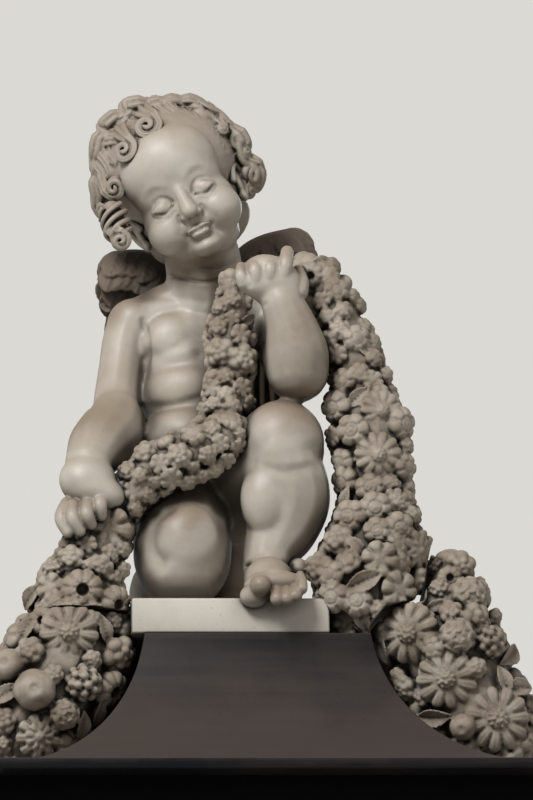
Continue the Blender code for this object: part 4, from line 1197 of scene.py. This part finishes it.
RIGHT_FLOWERS = [
    ("daisy", 410, 633, 29), ("daisy", 447, 679, 28), ("daisy", 497, 719, 30), ("bud", 467, 597, 22),
    ("rose", 460, 567, 16), ("bud", 457, 637, 20), ("berries", 489, 642, 16), ("leaf", 510, 655, 15),
    ("leaf", 518, 688, 15), ("rose", 405, 688, 13), ("rose", 398, 676, 9), ("leaf", 383, 648, 14),
    ("leaf", 434, 717, 15), ("leaf", 504, 681, 13), ("puff", 381, 634, 12), ("berries", 440, 590, 11),
    ("berries", 433, 566, 10), ("rose", 476, 668, 11), ("leaf", 436, 606, 10), ("rose", 494, 618, 10),
    ("fruit", 463, 727, 12), ("daisy", 540, 742, 18), ("rose", 532, 705, 12),
]


def slab_bed():
    """The slab with a mason's gap round it, to trim what stands on it."""
    gap = Vector((MASON_GAP,) * 3)
    return box(SLAB_LOW - gap, SLAB_HIGH + gap)


def box(low, high):
    """A box between two corners, in metres."""
    bpy.ops.mesh.primitive_cube_add(size=1, location=(Vector(low) + Vector(high)) / 2)
    made = bpy.context.object
    made.scale = Vector(high) - Vector(low)
    return settle(made)


def joint_block(line, side, above):
    """A block that fills all above or all below a joint's line, with half of the joint's width."""
    half = BLOCK_JOINT / UNIT / 2
    if above:
        corners = [*line, (line[-1][0], FAR), (0.0, FAR), (0.0, line[0][1])]
        shift = (side * half, -half)
    else:
        corners = [*line, (side * FAR, line[-1][1]), (side * FAR, -FAR), (line[0][0], -FAR)]
        shift = (-side * half, half)
    bpy.ops.mesh.primitive_circle_add(vertices=len(corners), fill_type="NGON")
    made = bpy.context.object
    for vertex, (x, z) in zip(made.data.vertices, corners):
        vertex.co = place((x + shift[0], 0, z + shift[1]))
    modify(made, "SOLIDIFY", thickness=1.0, offset=0.0)
    return apply_all(made)


def trim(obj, cutters):
    """Cuts other shapes away from a piece and removes them."""
    for cutter in cutters:
        modify(obj, "BOOLEAN", operation="DIFFERENCE", object=cutter)
    apply_all(obj)
    for cutter in cutters:
        bpy.data.objects.remove(cutter, do_unlink=True)
    return obj


def garlands(material):
    """The garland: the length in front of the child, the falling length and both swags below."""
    models = flower_models()
    front = strand(models, CHEST, CHEST_FLOWERS, 1.4, SMALL, 3)
    front += strand(models, LAP, LAP_FLOWERS, 1.45, SMALL, 5)
    front += strand(models, HELD, HELD_FLOWERS, 1.8, SMALL, 7)
    falling = strand(models, FALLING, FALLING_FLOWERS, 1.9, SMALL, 11)
    left = strand(models, LEFT_BLOCK, LEFT_FLOWERS, 2.2, MIXED, 13) + limb(LEFT_BACKING)
    right = strand(models, RIGHT_BLOCK, RIGHT_FLOWERS, 2.2, MIXED, 17) + limb(RIGHT_BACKING)
    for model in models.values():
        bpy.data.objects.remove(model, do_unlink=True)
    lengths = (
        ("garland_front", front, "child_with_garland", joint_block(LEFT_JOINT, -1, False)),
        ("garland_falling", falling, "child_with_garland", joint_block(RIGHT_JOINT, 1, False)),
        ("left_swag_carving", left, "left_swag", joint_block(LEFT_JOINT, -1, True)),
        ("right_swag_carving", right, "right_swag", joint_block(RIGHT_JOINT, 1, True)),
    )
    for name, shapes, node, joint in lengths:
        skin = thin_out(fused(shapes, GARLAND_VOXEL, 1), GARLAND_FACES)
        trim(skin, [slab_bed(), cap_body(MASON_GAP), joint])
        finish_piece(skin, name, node, material)


# Slab and cap

def cap_outline(steps):
    """Reach beyond the top's edge and drop below it, step by step down the cap's hollow side."""
    radius = CAP_FLARE / math.cos(CAP_TOP_LEAN)
    for k in range(steps + 1):
        angle = CAP_TOP_LEAN + (CAP_END_ANGLE - CAP_TOP_LEAN) * k / steps
        reach = radius * (math.cos(CAP_TOP_LEAN) - math.cos(angle))
        drop = radius * (math.sin(angle) - math.sin(CAP_TOP_LEAN))
        yield reach, drop


def cap_body(grow):
    """The cap: its top pulled down and out along the hollow outline, then straight down the fillet."""
    width, depth, height = CAP_TOP_WIDTH + 2 * grow, CAP_TOP_DEPTH + 2 * grow, CAP_HIGH.z + grow
    bpy.ops.mesh.primitive_plane_add(size=1, location=(0, 0, height))
    made = bpy.context.object
    made.scale = (width, depth, 1)
    settle(made)
    bpy.ops.object.mode_set(mode="EDIT")
    bpy.ops.mesh.select_all(action="SELECT")
    levels = [
        (CAP_TOP_WIDTH + 2 * (reach + grow), CAP_TOP_DEPTH + 2 * (reach + grow), CAP_HIGH.z - drop)
        for reach, drop in cap_outline(CAP_STEPS)
    ][1:]
    levels.append((*levels[-1][:2], CAP_LOW.z))
    for new_width, new_depth, new_height in levels:
        bpy.ops.mesh.extrude_region_move(TRANSFORM_OT_translate={"value": (0, 0, new_height - height)})
        bpy.ops.transform.resize(
            value=(new_width / width, new_depth / depth, 1), center_override=(0, 0, new_height)
        )
        width, depth, height = new_width, new_depth, new_height
    bpy.ops.mesh.select_all(action="SELECT")
    bpy.ops.mesh.normals_make_consistent(inside=False)
    bpy.ops.object.mode_set(mode="OBJECT")
    return made


def cap(material):
    """The black cap with its arrises just taken off."""
    made = cap_body(0)
    modify(made, "BEVEL", width=ARRIS, segments=3, limit_method="ANGLE", angle_limit=math.radians(25))
    apply_all(made)
    bpy.ops.object.shade_smooth_by_angle(angle=SHARP)
    finish_piece(made, "black_cap_stone", "black_cap", material)


def slab(material):
    """The marble slab: sawn faces and worn edges."""
    made = box(SLAB_LOW, SLAB_HIGH)
    modify(made, "BEVEL", width=SLAB_WEAR, segments=4)
    apply_all(made)
    bpy.ops.object.shade_smooth_by_angle(angle=SHARP)
    finish_piece(made, "slab_stone", "marble_slab", material)


# Materials

# Sizes of the weathering and of the painted crevice shade; colours of grime with painted shade in hollows
# and of painted shade with grime in crevices
CREVICE_SHADE_REACH = 0.006
PORE_SCALE = 260.0
GRAIN_SCALE = 900.0
STREAK_SCALE = (4.0, 4.0, 70.0)
GRIME_AND_SHADE = (0.045, 0.034, 0.025)
CREVICE_SHADE_COLOUR = (0.025, 0.02, 0.016, 1)
# Places of a colour mix node's inputs and result
MIX_FACTOR, MIX_LOW, MIX_HIGH, MIX_RESULT = 0, 6, 7, 2
# Patches of the skin darkened with the dusty colour: dust stains, with painted shade on the raised forearm
# and painted shade under the chin; across and down in the frame with a depth, and a reach
DUST_AND_SHADE_PATCHES = (
    ((96, 432, -6), 7.0), ((78, 500, -13), 4.5), ((302, 352, -12), 8.0), ((292, 408, -13), 5.0),
    ((262, 586, -17), 3.2), ((290, 594, -17), 4.0), ((186, 515, -13), 5.0), ((240, 262, -13), 3.0),
    ((200, 268, -5), 5.0), ((110, 300, 0), 5.0),
)


def wired(tree, kind, links=None, **settings):
    """A new node with its settings, plain input values and links."""
    node = tree.nodes.new(kind)
    for key, value in settings.items():
        setattr(node, key, value)
    for key, value in (links or {}).items():
        if isinstance(value, bpy.types.NodeSocket):
            tree.links.new(value, node.inputs[key])
        else:
            node.inputs[key].default_value = value
    return node


def noise(tree, where, scale, detail, roughness=0.5):
    """Cloudy values from 0 to 1."""
    values = {"Vector": where, "Scale": scale, "Detail": detail, "Roughness": roughness}
    return wired(tree, "ShaderNodeTexNoise", values).outputs["Fac"]


def stretched(tree, value, low, high, to_low=0.0, to_high=1.0):
    """A value carried from one range to another and held inside it."""
    values = {0: value, 1: low, 2: high, 3: to_low, 4: to_high}
    return wired(tree, "ShaderNodeMapRange", values).outputs[0]


def weathering_group():
    """Masks that every stone here uses: painted shade with grime in hollows and in crevices, where
    occlusion finds them, dust on upward faces, blotches, specks, level streaks and a fine relief."""
    group = bpy.data.node_groups.new("stone_weathering", "ShaderNodeTree")
    for name, default in (("Hollow Reach", 0.02), ("Blotch Scale", 9.0), ("Dust Edge", 0.2)):
        made = group.interface.new_socket(name=name, in_out="INPUT", socket_type="NodeSocketFloat")
        made.default_value = default
    for name in ("Hollow Shade", "Crevice Shade", "Dust", "Blotch", "Speck", "Streak", "Relief"):
        group.interface.new_socket(name=name, in_out="OUTPUT", socket_type="NodeSocketFloat")
    given = group.nodes.new("NodeGroupInput").outputs
    results = group.nodes.new("NodeGroupOutput").inputs
    where = wired(group, "ShaderNodeTexCoord").outputs["Object"]
    blotch = noise(group, where, given["Blotch Scale"], 6.0, 0.6)
    wide_shade = wired(group, "ShaderNodeAmbientOcclusion", {"Distance": given["Hollow Reach"]}, samples=8)
    close_shade = wired(group, "ShaderNodeAmbientOcclusion", {"Distance": CREVICE_SHADE_REACH}, samples=6)
    facing = wired(group, "ShaderNodeNewGeometry").outputs["Normal"]
    upward = wired(group, "ShaderNodeSeparateXYZ", {0: facing}).outputs["Z"]
    lifted = wired(group, "ShaderNodeMath", {0: upward, 1: share(group, blotch, 0.7)}, operation="ADD")
    level = wired(group, "ShaderNodeMapping", {"Vector": where, "Scale": STREAK_SCALE}).outputs[0]
    relief = wired(group, "ShaderNodeMath", {0: noise(group, where, GRAIN_SCALE, 3.0), 1: 0.35, 2: blotch},
                   operation="MULTIPLY_ADD")
    masks = {
        # Painted shade with grime: occlusion darkens hollows, creases and the places under and between
        # parts
        "Hollow Shade": stretched(group, wide_shade.outputs["AO"], 0.94, 0.48),
        "Crevice Shade": stretched(group, close_shade.outputs["AO"], 0.82, 0.40),
        "Dust": stretched(group, lifted.outputs[0], given["Dust Edge"], 1.1),
        "Blotch": blotch,
        "Speck": stretched(group, noise(group, where, PORE_SCALE, 2.0), 0.68, 0.78),
        "Streak": stretched(group, noise(group, level, 1.0, 6.0), 0.44, 0.66),
        "Relief": relief.outputs[0],
    }
    for name, value in masks.items():
        group.links.new(value, results[name])
    return group


def blend_colour(tree, factor, low, high):
    """A mix of two colours, or of a colour and a linked one, by a mask."""
    values = {MIX_FACTOR: factor, MIX_LOW: low, MIX_HIGH: high}
    return wired(tree, "ShaderNodeMix", values, data_type="RGBA").outputs[MIX_RESULT]


def share(tree, value, factor):
    """A mask times a number or another mask."""
    return wired(tree, "ShaderNodeMath", {0: value, 1: factor}, operation="MULTIPLY").outputs[0]


def stone(name, group, colours, amounts, roughness, bump, hollow_shade_reach, dust_edge, shine=0.5, dust_and_shade_patches=(),
          streak=0.0, blotch_scale=9.0):
    """A weathered stone with painted shade. colours: clean, stained, dusty, and grime with painted shade.
    amounts: blotch, dust, painted shade in hollows, painted shade in crevices, speck. Patches: middles and
    reaches, in figure units, of places darkened with the dusty colour: dust, and in some of them painted
    shade."""
    material = bpy.data.materials.new(name)
    material.use_nodes = True
    tree = material.node_tree
    shader = tree.nodes["Principled BSDF"]
    weathering = tree.nodes.new("ShaderNodeGroup")
    weathering.node_tree = group
    weathering.inputs["Hollow Reach"].default_value = hollow_shade_reach
    weathering.inputs["Dust Edge"].default_value = dust_edge
    weathering.inputs["Blotch Scale"].default_value = blotch_scale
    masks = weathering.outputs
    colour, stained, dusty, grime_and_shade = [(*c, 1.0) for c in colours]
    blotch, dust, hollow, crevice_shade, speck = amounts
    layers = [(stretched(tree, masks["Blotch"], 0.40, 0.64), blotch, stained), (masks["Dust"], dust, dusty)]
    if streak:
        layers.append((masks["Streak"], streak, dusty))
    where = wired(tree, "ShaderNodeTexCoord").outputs["Object"]
    # Patches darkened with the dusty colour: dust, and in some of them painted shade
    for middle, reach in dust_and_shade_patches:
        away = wired(tree, "ShaderNodeVectorMath", {0: where, 1: place(middle)}, operation="DISTANCE")
        patch = stretched(tree, away.outputs["Value"], reach * UNIT, reach * UNIT * 0.35)
        layers.append((share(tree, masks["Blotch"], patch), 1.5, dusty))
    # Painted shade with grime in hollows and in crevices, and grime in the specks
    layers += [
        (masks["Hollow Shade"], hollow, grime_and_shade),
        (masks["Crevice Shade"], crevice_shade, CREVICE_SHADE_COLOUR),
        (masks["Speck"], speck, grime_and_shade),
    ]
    for mask, amount, layer in layers:
        colour = blend_colour(tree, share(tree, mask, amount), colour, layer)
    tree.links.new(colour, shader.inputs["Base Color"])
    rough = stretched(tree, masks["Dust"], 0.0, 1.0, roughness, min(1, roughness + 0.25))
    tree.links.new(rough, shader.inputs["Roughness"])
    shader.inputs["Specular IOR Level"].default_value = shine
    relief = wired(tree, "ShaderNodeBump", {"Height": masks["Relief"], "Strength": 0.5, "Distance": bump})
    tree.links.new(relief.outputs["Normal"], shader.inputs["Normal"])
    return material


def materials():
    """Every finish: skin, hair, wings and garland of one marble, the wings darkened with painted shade, the
    slab's marble, and the limestone of the cap with a darker, duller copy of it on the base as painted
    shade.
    """
    group = weathering_group()
    return {
        # The skin's wide hollow reach paints shade under the chin, below the arms and between the limbs,
        # along with grime
        "skin": stone(
            "skin marble", group, ((0.64, 0.595, 0.52), (0.50, 0.435, 0.35), (0.27, 0.205, 0.145), GRIME_AND_SHADE),
            amounts=(0.7, 0.75, 0.8, 0.9, 0.12), roughness=0.36, bump=0.0006, hollow_shade_reach=0.05,
            dust_edge=0.30, shine=0.4, dust_and_shade_patches=[(seen(*spot), reach) for spot, reach in DUST_AND_SHADE_PATCHES],
        ),
        "hair": stone(
            "hair marble", group, ((0.47, 0.415, 0.345), (0.34, 0.285, 0.225), (0.26, 0.20, 0.15), GRIME_AND_SHADE),
            amounts=(0.7, 0.8, 0.85, 0.95, 0.2), roughness=0.5, bump=0.0008, hollow_shade_reach=0.012,
            dust_edge=0.25,
        ),
        # The wings' colours are the marble made brown and dark: dirt, with painted shade of their shadowed
        # inner side
        "wing": stone(
            "wing marble with painted shade", group, ((0.17, 0.128, 0.094), (0.10, 0.073, 0.052), (0.11, 0.08, 0.058), GRIME_AND_SHADE),
            amounts=(0.8, 0.7, 0.9, 0.9, 0.3), roughness=0.6, bump=0.001, hollow_shade_reach=0.05, dust_edge=0.3,
        ),
        "garland": stone(
            "garland marble", group, ((0.56, 0.495, 0.41), (0.30, 0.24, 0.18), (0.23, 0.18, 0.13), GRIME_AND_SHADE),
            amounts=(0.95, 0.75, 1.0, 1.0, 0.4), roughness=0.6, bump=0.001, hollow_shade_reach=0.018,
            dust_edge=0.15, blotch_scale=24.0,
        ),
        "slab": stone(
            "slab marble", group, ((0.74, 0.70, 0.62), (0.60, 0.54, 0.46), (0.45, 0.40, 0.34), GRIME_AND_SHADE),
            amounts=(0.8, 0.6, 0.6, 0.6, 0.3), roughness=0.45, bump=0.0008, hollow_shade_reach=0.03,
            dust_edge=0.5,
        ),
        "black": stone(
            "black limestone", group,
            ((0.008, 0.009, 0.012), (0.014, 0.012, 0.0115), (0.080, 0.062, 0.053), (0.005, 0.0045, 0.004)),
            amounts=(0.8, 0.7, 0.3, 0.3, 0.6), roughness=0.40, bump=0.0005, hollow_shade_reach=0.03,
            dust_edge=0.34, shine=0.14, streak=0.2,
        ),
        # The base is the cap's black limestone made darker and duller: painted shade of the shadow under
        # the cap
        "base": stone(
            "black base with painted shade", group,
            ((0.003, 0.003, 0.0035), (0.004, 0.004, 0.004), (0.02, 0.016, 0.013), (0.003, 0.003, 0.003)),
            amounts=(0.5, 0.5, 0.3, 0.3, 0.1), roughness=0.6, bump=0.0005, hollow_shade_reach=0.03,
            dust_edge=0.4, shine=0.08,
        ),
    }


# Stage

STAGE_FLOOR = -2.4
STAGE_SIZE = 60
BLOCK_INSET = 0.006
BLOCK_GAP = 0.001

# Lamps by name: place, size and power; all of them look at one point of the group
LAMPS = {
    "key": ((-2.3, -3.5, 4.3), 1.8, 265),
    "fill": ((3.6, -3.0, 0.9), 2.4, 9),
    "back": ((1.6, 4.2, 3.2), 2.6, 60),
}
LAMP_AIM = Vector((0, 0, 0.6))
# The surround: its light from below and from above, and the colour the camera sees behind the group
LOW_GLOW = (0.03, 0.028, 0.026, 1)
HIGH_GLOW = (0.46, 0.45, 0.44, 1)
BACKDROP = (0.708, 0.694, 0.658, 1)


def plain(name, colour):
    """A plain studio finish for the stage."""
    material = bpy.data.materials.new(name)
    material.use_nodes = True
    shader = material.node_tree.nodes["Principled BSDF"]
    shader.inputs["Base Color"].default_value = (*colour, 1)
    shader.inputs["Roughness"].default_value = 0.9
    return material


def stage():
    """A pale floor below the camera, and a plain block on it that carries the group."""
    pale = plain("pale stage", (0.50, 0.485, 0.46))
    bpy.ops.mesh.primitive_plane_add(size=STAGE_SIZE, location=(0, 0, STAGE_FLOOR))
    floor = bpy.context.object
    block = box(
        (BASE_LOW.x + BLOCK_INSET, BASE_LOW.y + BLOCK_INSET, STAGE_FLOOR),
        (BASE_HIGH.x - BLOCK_INSET, BASE_HIGH.y - BLOCK_INSET, -BLOCK_GAP),
    )
    for part, name in ((floor, "stage_floor"), (block, "stage_block")):
        part.name = name
        part.data.materials.append(pale)


def lights():
    """A soft key from the upper left, a weak fill from the right, a weak lamp for the back and a pale
    surround that lights from above only a little."""
    for name, (spot, size, power) in LAMPS.items():
        bpy.ops.object.light_add(type="AREA", location=spot)
        lamp = bpy.context.object
        lamp.name = name
        lamp.data.size = size
        lamp.data.energy = power
        lamp.rotation_euler = (LAMP_AIM - Vector(spot)).to_track_quat("-Z", "Y").to_euler()
    world = bpy.data.worlds.new("surround")
    bpy.context.scene.world = world
    world.use_nodes = True
    tree = world.node_tree
    direction = wired(tree, "ShaderNodeTexCoord").outputs["Generated"]
    height = stretched(tree, wired(tree, "ShaderNodeSeparateXYZ", {0: direction}).outputs["Z"], -0.4, 0.9)
    glow = blend_colour(tree, height, LOW_GLOW, HIGH_GLOW)
    direct = wired(tree, "ShaderNodeLightPath").outputs["Is Camera Ray"]
    colour = blend_colour(tree, direct, glow, BACKDROP)
    tree.links.new(colour, tree.nodes["Background"].inputs["Color"])
    bpy.context.scene.view_settings.view_transform = "Standard"


def main():
    """Builds and dresses the whole group."""
    quiet()
    add_camera()
    finishes = materials()
    stage()
    lights()
    base_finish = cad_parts["black_base"].data.materials
    base_finish.clear()
    base_finish.append(finishes["base"])
    cap(finishes["black"])
    slab(finishes["slab"])
    body(finishes["skin"])
    hair(finishes["hair"])
    wings(finishes["wing"])
    garlands(finishes["garland"])


main()
